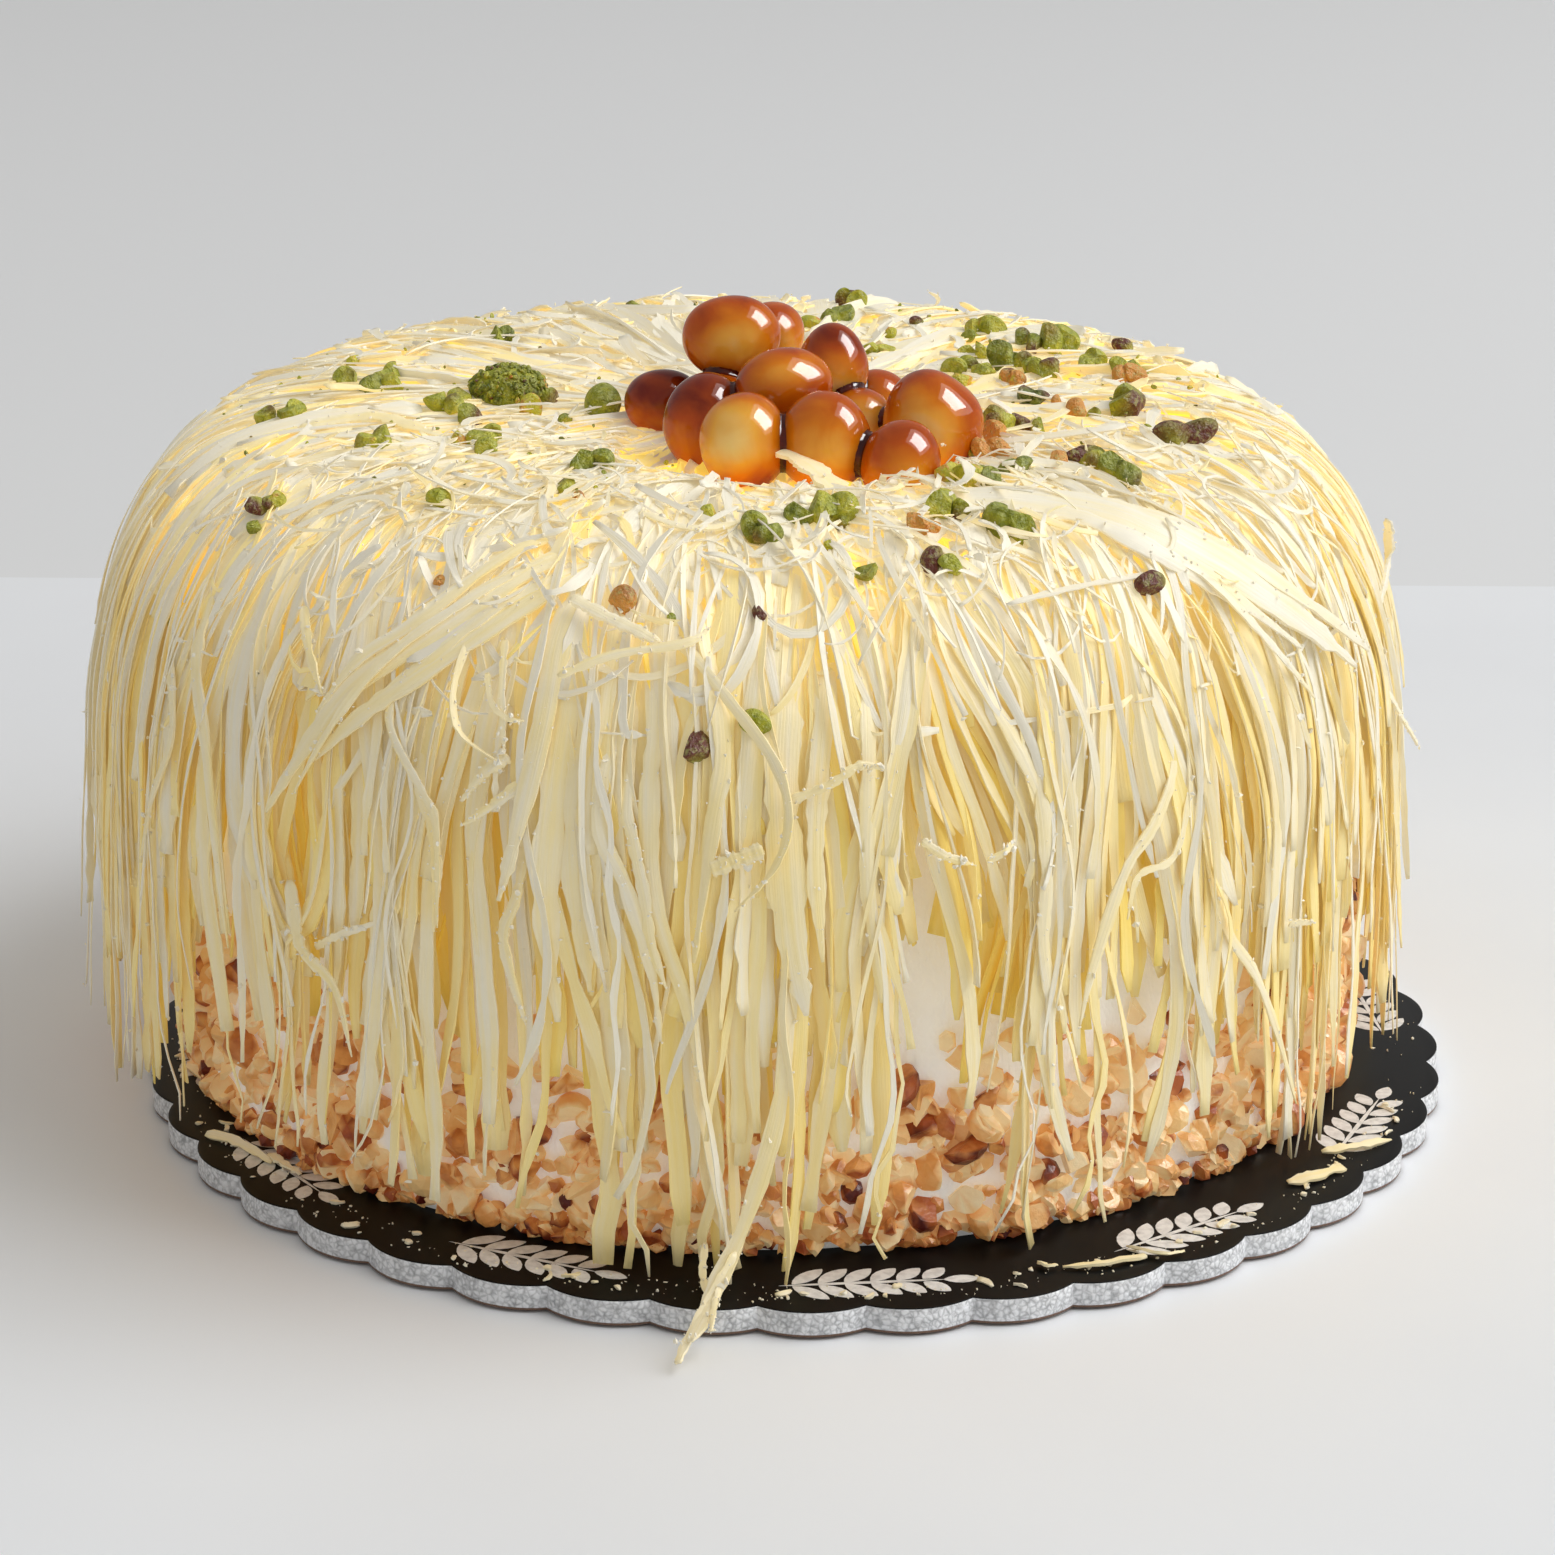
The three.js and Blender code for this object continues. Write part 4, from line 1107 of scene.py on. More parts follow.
def make_hazelnut(number, at, size, point, swell=GLAZE):
    """A nut with soft dents, swollen by its glaze."""
    deselect_all()
    bpy.ops.mesh.primitive_ico_sphere_add(subdivisions=5, radius=0.5)
    nut = bpy.context.object
    dice = np.random.default_rng(500 + number)
    direction = unit(corner_points(nut))
    dents = np.zeros(len(direction))
    for _ in range(5):
        way = unit(dice.normal(size=3))
        dents += dice.normal(0, 0.016) * np.sin(direction @ way * dice.uniform(2, 5) + dice.uniform(0, TURN))
    points = direction * nut_reach(direction, size, point) * (1 + dents[:, None]) + direction * swell
    move_points(nut, points + np.array(at))
    bpy.ops.object.shade_smooth()
    nut.name = nut.data.name = f"glazed_hazelnut_{number:02d}"
    return nut


def paint_hazelnut(nut, number):
    """Marks where the pale kernel shows through, and where the glaze darkens beside other nuts: partly deeper
    caramel, partly painted shade.
    """
    dice = np.random.default_rng(900 + number)
    points = corner_points(nut)
    at = HAZELNUTS[number - 1][0]
    direction = unit(points - np.array(at))
    side, strength = PALE_SIDES[number - 1]
    facing = np.maximum(direction @ unit(np.array(side)), 0)
    base = 0.34 - (0.13 if number in BROWNER_NUTS else 0)
    pale = base - 0.08 * direction[:, 2] + strength * facing ** 2.2
    for _ in range(4):
        way = unit(dice.normal(size=3))
        pale += dice.normal(0, 0.035) * np.sin(direction @ way * dice.uniform(2, 6) + dice.uniform(0, TURN))
    near = np.full(len(points), 9.0)
    for other, (middle, breadth, _) in enumerate(HAZELNUTS, 1):
        if other != number:
            off = (points - np.array(middle)) / (np.array(breadth) / 2)
            near = np.minimum(near, (np.linalg.norm(off, axis=1) - 1) * np.mean(breadth) / 2)
    # Darker the nearer another nut is: partly deeper caramel, partly painted shade.
    deep_caramel_and_painted_shade = np.clip(np.exp(-np.maximum(near, 0) / 1.5), 0, 1)
    mark_points(nut.data, "pale", np.clip(pale, 0, 1))
    mark_points(nut.data, "deep_caramel_and_painted_shade", deep_caramel_and_painted_shade)


def make_set_caramel():
    """Caramel between the nuts: swollen copies melted into one, drawn in until only crevices stay full."""
    copies = [make_hazelnut(number, *nut, swell=GLAZE + 0.4) for number, nut in enumerate(HAZELNUTS, 1)]
    pool = join_all(copies)
    apply_modifier(pool, "REMESH", mode="VOXEL", voxel_size=0.4 * MM)
    apply_modifier(pool, "SMOOTH", factor=0.5, iterations=5)
    apply_modifier(pool, "DISPLACE", mid_level=0.0, strength=-0.5 * MM)
    apply_modifier(pool, "SMOOTH", factor=0.5, iterations=2)
    apply_modifier(pool, "DECIMATE", ratio=0.3)
    pick(pool)
    bpy.ops.object.shade_smooth()
    pool.name = pool.data.name = "caramel_between_nuts"
    return pool


# ---------------------------------------------------------------- pistachios

# Pixel where each piece shows, its length, and its kind.
PISTACHIOS = [
    (617, 302, 3.6, "bright"), (635, 314, 4.0, "dark"), (501, 343, 5.6, "dark"), (345, 385, 5.2, "green"),
    (352, 366, 3.2, "bright"), (373, 392, 5.0, "dark"), (384, 386, 5.0, "green"), (393, 380, 4.4, "green"),
    (396, 392, 5.4, "bright"), (265, 424, 4.6, "green"), (292, 421, 6.2, "green"), (375, 453, 7.2, "green"),
    (446, 412, 7.4, "green"), (466, 423, 5.4, "skin"), (489, 446, 7.6, "green"), (462, 447, 4.2, "bright"),
    (486, 457, 4.6, "green"), (564, 425, 3.2, "dark"), (550, 404, 4.6, "skin"), (459, 403, 4.4, "green"),
    (532, 416, 5.0, "bright"), (594, 472, 7.4, "dark"), (568, 494, 4.6, "green"), (577, 504, 2.6, "orange"),
    (441, 508, 4.8, "green"), (268, 513, 6.2, "skin"), (274, 509, 4.4, "bright"), (260, 532, 3.2, "dark"),
    (761, 540, 7.2, "dark"), (755, 722, 4.8, "green"), (694, 748, 5.4, "brown"), (465, 562, 2.2, "bright"),
    (829, 550, 2.4, "green"), (866, 577, 4.0, "dark"), (932, 566, 4.6, "brown"), (949, 572, 4.4, "green"),
    (1007, 533, 9.0, "dark"), (942, 514, 8.0, "green"), (960, 519, 4.4, "skin"), (920, 533, 6.2, "orange"),
    (958, 482, 7.8, "bright"), (984, 485, 6.2, "dark"), (1016, 475, 5.6, "dark"), (1047, 474, 2.6, "green"),
    (1084, 467, 7.4, "skin"), (1093, 471, 6.2, "green"), (1117, 478, 8.4, "dark"),
    (1145, 586, 5.0, "brown"), (850, 308, 6.6, "skin"), (857, 310, 5.0, "green"), (836, 323, 7.0, "dark"),
    (812, 331, 4.6, "bright"), (950, 303, 5.4, "dark"), (887, 338, 3.0, "bright"), (870, 356, 3.4, "green"),
    (885, 354, 3.4, "bright"), (918, 329, 2.8, "skin"), (980, 335, 6.6, "bright"), (992, 335, 5.4, "green"),
    (968, 341, 3.0, "dark"), (1029, 323, 5.0, "skin"), (1046, 325, 8.6, "green"), (1056, 329, 6.0, "green"),
    (1021, 347, 4.6, "dark"), (1033, 352, 4.2, "skin"), (1056, 350, 9.0, "green"),
    (975, 360, 6.2, "bright"), (970, 371, 4.0, "green"), (954, 375, 5.0, "green"), (983, 378, 6.0, "green"),
    (962, 386, 4.0, "bright"), (1010, 370, 8.4, "dark"), (1029, 373, 6.4, "green"),
    (1045, 377, 6.6, "skin"), (1012, 385, 5.6, "pale"), (1092, 369, 6.4, "green"),
    (1084, 372, 3.6, "green"), (1125, 377, 7.0, "green"), (1128, 386, 6.4, "orange"),
    (1032, 404, 6.0, "black"), (1121, 351, 3.8, "brown"), (1126, 414, 9.4, "skin"),
    (1056, 406, 2.6, "orange"), (1170, 449, 7.0, "brown"), (1190, 446, 10.4, "long"),
    (1000, 433, 8.6, "green"), (1020, 431, 4.0, "brown"), (1038, 433, 3.0, "green"),
    (994, 440, 5.0, "orange"), (992, 457, 5.6, "orange"), (1058, 472, 5.0, "orange"),
    (976, 455, 3.6, "green"), (1077, 416, 4.4, "orange"), (1092, 423, 3.6, "green"),
    (1147, 433, 1.8, "green"), (1157, 434, 1.8, "green"), (625, 607, 5.0, "orange"),
    (759, 617, 3.0, "brown"), (442, 585, 2.6, "orange"), (672, 621, 1.8, "green"),
]
PISTACHIO_CRUMBS = 170               # on top, between the pieces
LUMP_GRAINS = 520                    # of ground pistachio round the lump
PISTACHIO_KINDS = {                  # hue of the flesh and share of skin
    "bright": (0.82, 0.03), "green": (0.6, 0.1), "dark": (0.34, 0.06), "skin": (0.45, 0.55),
    "brown": (0.5, 0.95), "orange": (1.35, 0.0), "pale": (1.0, 0.3), "black": (0.02, 0.3),
    "long": (0.45, 0.8),
}


def craggy(points, dice, size):
    """Uneven bumps over a rounded kernel."""
    bumps = np.zeros(len(points))
    for wave in (5, 9, 15):
        for _ in range(3):
            way = unit(dice.normal(size=3)) * wave
            bumps += np.sin(points @ way + dice.uniform(0, TURN)) * size / wave ** 0.7
    return points * (1 + bumps[:, None])


def kernel_batch(kind, dice, middle, length, hue, skin_share):
    """One chip of a kind, turned any way, with skin on one side."""
    points, faces, skin = kind
    shaped = craggy(points, dice, 0.06)
    placed = shaped @ any_turn(dice).T * length + middle
    way = unit(dice.normal(size=3))
    patch = np.clip((points @ way) * 3 + (skin_share * 2 - 1) * 1.6 + 0.5, 0, 1) * (0.25 + 0.75 * skin)
    marks = {"hue": np.full(len(points), hue) + dice.normal(0, 0.03), "skin": patch}
    return {"points": placed, "faces": [faces], "marks": marks}


def grown_together(dice, kinds, middle, length, hue, skin_share):
    """One chopped pistachio: a chip, or two that hang together."""
    lobes = 1 + int(length > 5.5 and skin_share < 0.7)
    lie = dice.uniform(0, TURN)
    along = np.array([math.cos(lie), math.sin(lie), dice.normal(0, 0.2)])
    batches = []
    for lobe in range(lobes):
        shift = along * (lobe - (lobes - 1) / 2) * 0.4 * length + dice.normal(0, 0.04, 3) * length
        share = dice.uniform(0.74, 0.92) if lobes > 1 else 1.15
        kind = kinds[int(dice.integers(len(kinds)))]
        batches.append(kernel_batch(kind, dice, middle + shift, length * share, hue, skin_share))
    return batches


def make_pistachios():
    """The chopped pistachios and flakes of nut on top, and their crumbs."""
    dice = np.random.default_rng(77)
    kinds = [chop(dice, 3, int(dice.integers(3, 7)), (1.14, 0.86, 0.8), (0.2, 0.38)) for _ in range(16)]
    whole = chop(dice, 4, 0, (1.0, 0.5, 0.45))
    batches = []
    for px, py, length, name in PISTACHIOS:
        angle, way = seen_on_coat(px, py)
        hue, skin_share = PISTACHIO_KINDS[name]
        point, _ = coat_place(np.array(angle), np.array(way), 0.5 + length * 0.16)
        if name == "long":
            batches.append(kernel_batch(whole, dice, point, length, hue, skin_share))
        else:
            batches += grown_together(dice, kinds, point, length, hue, skin_share)
    crumbs = chop(dice, 2, 2, (1, 0.8, 0.7))
    for _ in range(PISTACHIO_CRUMBS):
        angle = dice.uniform(-math.pi, math.pi)
        way = math.sqrt(dice.uniform(25 ** 2, 104 ** 2))
        point, _ = coat_place(np.array(angle), np.array(way), 0.9)
        hue = dice.choice([0.3, 0.5, 0.75])
        length = dice.uniform(0.5, 1.5)
        batches.append(kernel_batch(crumbs, dice, point, length, hue, dice.choice([0.0, 0.3])))
    pieces = piece_from("pistachios", joined(batches))
    pick(pieces)
    bpy.ops.object.shade_smooth_by_angle(angle=math.radians(30))
    return pieces


def make_pistachio_cluster(low, high):
    """A lump coated in ground pistachio."""
    dice = np.random.default_rng(78)
    middle = (low + high) / 2
    size = high - low
    core = chop(dice, 5, 0)
    lump = craggy(core[0], dice, 0.02) * size * 0.95 + middle
    marks = {"hue": np.full(len(lump), 0.5), "skin": np.zeros(len(lump))}
    batches = [{"points": lump, "faces": [core[1]], "marks": marks}]
    kinds = [chop(dice, 2, 4) for _ in range(6)]
    for _ in range(LUMP_GRAINS):
        direction = unit(dice.normal(size=3))
        direction[2] = abs(direction[2]) - 0.25
        point = middle + unit(direction) * size * 0.485
        hue, skin_share = 0.8, 0.0
        if dice.random() >= 0.1:
            hue, skin_share = dice.uniform(0.12, 0.62), dice.choice([0, 0, 0.4])
        kind = kinds[int(dice.integers(len(kinds)))]
        grain = float(np.exp(dice.uniform(math.log(0.4), math.log(1.8))))
        batches.append(kernel_batch(kind, dice, point, grain, hue, skin_share))
    return piece_from("pistachio_lump", joined(batches))


def make_whole_pistachio(low, high):
    """The large kernel beside the nuts, dented all over."""
    dice = np.random.default_rng(79)
    kind = chop(dice, 5, 1, (0.95, 0.95, 1.0), (0.42, 0.44))
    size = (high - low) * 1.02
    points = craggy(kind[0], dice, 0.035)
    for _ in range(9):
        way = unit(dice.normal(size=3))
        points *= 1 + dice.uniform(-0.1, 0.14) * np.exp(-((1 - unit(points) @ way) / 0.2) ** 2)[:, None]
    points = points * size + (low + high) / 2
    marks = {"hue": np.full(len(points), 0.44), "skin": np.zeros(len(points))}
    return piece_from("pistachio_kernel_whole", {"points": points, "faces": [kind[1]], "marks": marks})


# ---------------------------------------------------------------- shavings

LOCKS = 150                          # strands stick together in so many locks round the cake
CLINGING_CRUMBS = 9000

# How strands that hang outside end: share of the strands that end below each height.
SLIM_ENDS = ([0, 0.06, 0.18, 0.34, 0.5, 0.66, 0.82, 1.0], [6.5, 9, 16, 26, 38, 50, 64, 92])
BROAD_ENDS = ([0, 0.05, 0.14, 0.34, 0.58, 0.8, 1.0], [13, 24, 38, 48, 58, 70, 94])
MIDDLE_ENDS = ([0, 0.12, 0.36, 0.7, 1.0], [26, 40, 50, 62, 88])
INNER_ENDS = ([0, 0.1, 0.3, 0.6, 1.0], [40, 48, 54, 64, 88])

# Strands that stand out in the picture: pixels along them, width, lift along them, and further traits.
FEATURES = [
    ([(565, 681), (619, 661), (689, 649), (711, 633)], 1.8, (4.5, 4.0, 3.5, 2.5), {}),
    ([(576, 609), (616, 627), (646, 640), (668, 652)], 2.2, (3.5, 3.2, 2.6), {"thick": 0.6}),
    ([(610, 560), (568, 620), (545, 731), (521, 835), (507, 894)], 5.4, (-2.5, 1.0, 1.8, 2.8, 3.8),
     {"tail": 0.6}),
    ([(660, 630), (689, 652), (726, 698), (772, 759), (787, 811), (775, 860), (735, 906)], 2.3,
     (-1.5, 1, 2.4, 3.4, 4.2, 3.8, 3), {"tail": 0.4, "turn": (0.2, -0.7)}),
    ([(680, 560), (705, 640), (723, 744), (714, 820), (695, 958)], 3.8, (-2.5, 0.6, 1.6, 2.0, 2.4),
     {"turn": (0.5, -0.5)}),
    ([(787, 799), (827, 783), (855, 765), (879, 768)], 1.8, (3.4, 3.6, 3), {}),
    ([(712, 866), (763, 846)], 3.4, (2.6, 2.8), {"tail": 0.05, "stub": 0.9}),
    ([(500, 600), (472, 649), (463, 698), (472, 734), (506, 762)], 1.6, (-1, 2, 4, 4.5, 3),
     {"turn": (0.3, 1.2)}),
    ([(492, 675), (499, 705), (515, 720), (530, 722)], 1.2, (2, 4, 3), {"section": SLIM}),
    ([(512, 756), (490, 772), (470, 799)], 2.8, (1.4, 2.5, 3.5), {"tail": 0.8}),
    ([(540, 770), (503, 800), (469, 823)], 2.8, (1.2, 2.4, 3.5), {"tail": 0.8}),
    ([(508, 640), (509, 700), (512, 750)], 1.4, (1, 3.5, 3.5), {"section": SLIM}),
    ([(770, 580), (784, 676), (781, 774), (790, 927), (806, 1013)], 7.5, (-7, -0.6, 0.6, 1.0, 1.0),
     {"cup": 0.2}),
    ([(640, 600), (612, 731), (601, 793), (604, 835), (628, 884), (653, 967), (662, 1037)], 3.2,
     (-3, 0.6, 1.6, 1.8, 2.0), {"tail": 0.3}),
    ([(640, 640), (628, 796), (634, 835), (646, 890), (653, 939), (668, 985)], 2.4, (-3, 1.4, 2.0, 2.0, 2.2),
     {}),
    ([(590, 580), (572, 680), (556, 790), (548, 900), (560, 1019)], 6.2, (-3, -0.2, 0.6, 1.0, 1.2),
     {"cup": 0.2}),
    ([(610, 590), (597, 690), (578, 800), (580, 900), (591, 990)], 5.4, (-3, -0.2, 0.4, 0.6, 0.8),
     {"cup": 0.2}),
    ([(436, 700), (424, 783), (438, 820), (444, 866), (441, 927)], 2.4, (-2, 1.6, 2.2, 2.6, 2.6),
     {"turn": (0, 0.9)}),
    ([(530, 800), (521, 887), (509, 927), (515, 967), (530, 1019)], 2.4, (-2, 1.4, 2.4, 2.4, 2.0), {}),
    ([(820, 590), (826, 682), (818, 774), (815, 866), (822, 960)], 4.2, (-7, -0.8, 0.6, 0.9, 1.0),
     {"cup": 0.2}),
    ([(650, 600), (655, 700), (650, 800), (655, 900), (690, 1010), (700, 1075)], 3.8,
     (-3, 0.0, 0.8, 1.2, 2.0), {}),
    ([(858, 590), (866, 670), (868, 760), (866, 880), (880, 1000)], 3.4, (-7, -0.8, 0.8, 1.2, 1.2), {}),
    ([(1190, 700), (1165, 786), (1145, 826), (1116, 869), (1086, 958), (1072, 1021)], 2.6,
     (-2, 1.2, 2.0, 2.6, 2.8, 2.6), {"tail": 0.3}),
    ([(1188, 779), (1168, 852), (1130, 872), (1118, 915)], 1.6, (0.6, 2.4, 2.8), {"section": SLIM}),
    ([(1196, 740), (1205, 852), (1220, 925), (1246, 972), (1266, 1030), (1284, 1100)], 2.2,
     (-2, 0.8, 1.4, 2.2, 2.6, 2.6), {"tail": 0.3}),
    ([(920, 839), (940, 852), (970, 862)], 1.8, (1.4, 2.6, 2.0), {}),
    ([(983, 859), (1000, 848), (1012, 838)], 1.4, (2.0, 2.4, 1.2), {"section": SLIM}),
    ([(1034, 700), (1039, 789), (1043, 872), (1039, 938), (1046, 1005), (1046, 1104)], 2.8,
     (-2, 1.0, 1.6, 1.8, 2.2), {}),
    ([(1278, 921), (1290, 919), (1302, 921)], 1.4, (2.4, 2.8, 2.0), {"section": SLIM}),
    ([(312, 611), (323, 658), (334, 697)], 2.2, (2.2, 3.6, 3.0), {"turn": (0.8, -0.8)}),
    ([(290, 880), (304, 927), (316, 949), (346, 983), (363, 1051)], 3.0, (0, 2.0, 3.0, 3.2, 3.2),
     {"turn": (0.6, -0.6)}),
    ([(321, 945), (346, 932), (385, 919)], 1.6, (1.4, 2.2, 1.0), {"section": SLIM}),
    ([(600, 545), (547, 568), (432, 641), (363, 688), (321, 744), (282, 808)],
     5.2, (-1, 1.6, 2.6, 3.2, 3.8),
     {"tail": 0.4, "cup": 0.2}),
    ([(610, 570), (560, 590), (450, 660), (372, 716), (322, 762)], 4.6, (-1, 1.2, 2.2, 3.0, 3.2),
     {"tail": 0.4, "cup": 0.2}),
    ([(590, 530), (530, 552), (430, 622), (370, 662), (330, 712)], 3.4, (-1, 1.6, 2.6, 3.2, 3.2),
     {"tail": 0.5}),
    ([(600, 560), (500, 612), (430, 668), (402, 690)], 3.2, (0, 2.0, 2.6, 2.6), {"tail": 0.4}),
    ([(560, 560), (470, 610), (400, 660), (350, 720), (310, 790)], 2.2, (1, 3.0, 3.6, 4.0, 4.0),
     {"tail": 0.4}),
    ([(398, 697), (400, 731), (432, 791), (445, 825), (445, 923)], 1.8, (2.0, 3.0, 3.4, 2.8), {}),
    ([(214, 560), (210, 615), (205, 667), (218, 765), (239, 945)], 3.4, (-2, 1.4, 2.2, 2.4), {}),
    ([(180, 600), (175, 637), (180, 731), (163, 799), (158, 859)], 3.8, (-2, 1.0, 2.0, 3.4), {"tail": 0.6}),
    ([(900, 500), (960, 500), (1080, 516), (1180, 556), (1262, 606), (1340, 668)],
     8.5, (-2, 1.0, 2.2, 2.8, 3.2),
     {"tail": 0.3, "cup": 0.16, "tone_and_painted_glow": 0.04}),
    ([(1040, 500), (1110, 512), (1200, 548), (1282, 600), (1352, 652)], 5.5, (-1, 1.6, 2.6, 3.2, 3.2),
     {"tail": 0.4, "cup": 0.16, "tone_and_painted_glow": 0.06}),
    ([(1000, 520), (1060, 520), (1150, 560), (1230, 606), (1290, 650)], 4.2, (-2, 1.4, 2.2, 2.4, 2.4),
     {"tail": 0.4, "tone_and_painted_glow": 0.06}),
    ([(1120, 540), (1190, 580), (1250, 640), (1300, 700)], 2.4, (1.0, 3.0, 3.2, 3.2),
     {"tail": 0.4, "tone_and_painted_glow": 0.1}),
    ([(752, 462), (778, 468), (812, 482), (848, 500)], 7.0, (5.0, 4.4, 2.6, 0.4),
     {"tail": 0.1, "stub": 0.8, "cup": 0.2}),
    ([(918, 425), (928, 438), (942, 462)], 2.2, (8.0, 7.0, 3.0), {"tail": 0.1}),
    ([(640, 520), (700, 540), (770, 520)], 1.8, (1.4, 2.4, 1.2), {}),
    ([(380, 520), (430, 508), (470, 520)], 1.8, (1.4, 2.8, 1.2), {}),
    ([(1030, 446), (1100, 438), (1180, 452)], 3.8, (0.6, 1.6, 0.6), {}),
    ([(300, 430), (380, 424), (450, 440)], 4.0, (0.4, 1.4, 0.4), {}),
    ([(1376, 606), (1372, 566), (1358, 536)], 4.2, (0.4, 3.0, 6.5),
     {"tail": 0.15, "stub": 0.8, "tone_and_painted_glow": 0.1}),
    ([(1384, 690), (1388, 716), (1390, 742)], 3.0, (0.4, 2.4, 5.0),
     {"tail": 0.2, "stub": 0.7, "tone_and_painted_glow": 0.1}),
]


def make_shavings(finish, dust):
    """Every layer of the coat, from the cream outward. Deeper layers get a higher tone: yellower, with more
    painted glow.
    """
    dice = np.random.default_rng(4)
    comb = combing(dice)
    gathered = locks(dice, LOCKS)
    side = {
        "shavings_inner": joined([
            hanging(dice, comb, count=430, depth=(0.05, 0.3), width=(3.2, 7.0), start=(60, 104),
                    ends=INNER_ENDS, rows=12, tone_and_painted_glow=(0.72, 0.1), swing=1.0),
            hanging(dice, comb, count=360, depth=(0.2, 0.5), width=(2.2, 5.0), start=(64, 108),
                    ends=INNER_ENDS, rows=14, tone_and_painted_glow=(0.66, 0.1), swing=1.2),
        ]),
        "shavings_middle": hanging(
            dice, comb, gathered, count=820, depth=(0.45, 0.8), width=(1.6, 4.4), start=(66, 112),
            ends=MIDDLE_ENDS, rows=18, tone_and_painted_glow=(0.45, 0.16), swing=1.2, flare=0.6),
        "shavings_outer_slim": joined([
            hanging(dice, comb, gathered, count=540, depth=(0.72, 1.04), width=(1.3, 3.3), start=(72, 118),
                    ends=SLIM_ENDS, rows=24, tone_and_painted_glow=(0.33, 0.11), swing=1.1, flare=2.0, ragged=0.12),
            hanging(dice, comb, gathered, count=250, depth=(0.98, 1.16), width=(0.55, 1.5), start=(84, 128),
                    ends=SLIM_ENDS, rows=26, tone_and_painted_glow=(0.14, 0.1), swing=2.8, flare=4.0, ragged=0.16),
        ]),
        "shavings_outer_broad": hanging(
            dice, comb, gathered, count=520, depth=(0.7, 1.02), width=(1.9, 4.6), start=(66, 110),
            ends=BROAD_ENDS, rows=24, section=BROAD, tone_and_painted_glow=(0.36, 0.12), swing=0.75, flare=1.2, cup=0.36,
            ragged=0.08),
    }
    top = {
        "shavings_bed": lying(
            dice, count=520, middle_way=(0, 108), arc=(-180, 180), length=(34, 62), width=(4.0, 8.0),
            spread=0.22, lift=(-4.2, -2.0), rows=9, tone_and_painted_glow=(0.95, 0.06)),
        "shavings_combed": joined([
            lying(dice, count=520, middle_way=(30, 106), arc=(60, 262), length=(34, 86), width=(1.6, 5.0),
                  spread=0.14, lift=(-1.8, 0.9), rows=15, section=BROAD, tone_and_painted_glow=(0.1, 0.16),
                  cup=0.12, ragged=0.1),
            lying(dice, count=330, middle_way=(30, 104), arc=(-98, 60), length=(24, 64), width=(1.6, 5.4),
                  spread=0.28, lift=(-1.8, 0.9), rows=13, section=BROAD, tone_and_painted_glow=(0.15, 0.2),
                  cup=0.12, ragged=0.1),
        ]),
        "shavings_tousled": joined([
            lying(dice, count=1150, middle_way=(34, 116), arc=(-150, -20), length=(12, 52), width=(0.4, 1.9),
                  spread=0.55, lift=(-1.6, 1.9), rows=14, tone_and_painted_glow=(0.06, 0.12), bend=1.3, tilt=1.8, ragged=0.14),
            lying(dice, count=640, middle_way=(26, 112), arc=(-20, 210), length=(10, 42), width=(0.7, 3.0),
                  spread=0.5, lift=(-1.0, 1.3), rows=11, tone_and_painted_glow=(0.08, 0.12), bend=0.6, tilt=1.2, ragged=0.12),
        ]),
    }
    stand_out = []
    for pixels, width, lift, traits in FEATURES:
        stand_out.append(placed_strand(dice, pixels, width, lift, **traits))
    top["shavings_standing_out"] = joined(stand_out + leaning_strands(dice))
    pieces = []
    for name, batch in {**side, **top}.items():
        piece = piece_from(name, batch)
        piece.data.materials.append(finish)
        pieces.append(piece)
    rough = [side["shavings_outer_slim"], side["shavings_outer_broad"], top["shavings_tousled"],
             top["shavings_combed"], top["shavings_standing_out"]]
    crumbs = piece_from("shavings_crumbs", clinging_crumbs(dice, rough, CLINGING_CRUMBS), smooth=False)
    crumbs.data.materials.append(dust)
    return pieces + [crumbs]


# The strands at the foot that lean over the edge of the board: their stops, width and tail.
LEANING = [
    ([(-1, -117, 64), (-2.5, -119.5, 40), (-8, -123, 20), (-13, -129, 10.2), (-16, -136, 5.6),
      (-17.6, -140, 4.2)], 2.9, 0.3),
    ([(-10, -126, 14.5), (-14.5, -131.5, 8.2), (-18.5, -139.5, 3.2), (-19.6, -143.2, 1.8)], 1.5, 0.6),
    ([(-12.5, -128.5, 10.8), (-13.6, -134, 7.4), (-14, -139, 5.8)], 1.0, 0.7),
    ([(-15.5, -119, 13), (-15.8, -123, 9), (-14.6, -128, 6.6), (-14.0, -130.5, 6.4)], 1.3, 0.5),
]


def leaning_strands(dice):
    """The strands that rest on the board's edge, each a batch."""
    rows = 28
    batches = []
    for stops, width, tail in LEANING:
        route = smooth_route(stops, rows)
        normals = np.tile(np.array([0, -0.8, 0.6]), (rows, 1))
        share = tapered(dice, 1, rows, (0.05, 0.06), (tail, tail + 0.01), 0.1)
        roll = np.linspace(0.4, -0.7, rows)[None]
        thick = np.minimum(0.24 * share + 0.1, 0.4 * width * share)
        batches.append(ribbons(dice, route[None], normals[None], 0.5 * width * share, thick, roll,
                               np.full((1, rows), 0.2), BROAD, 0.15))
    return batches


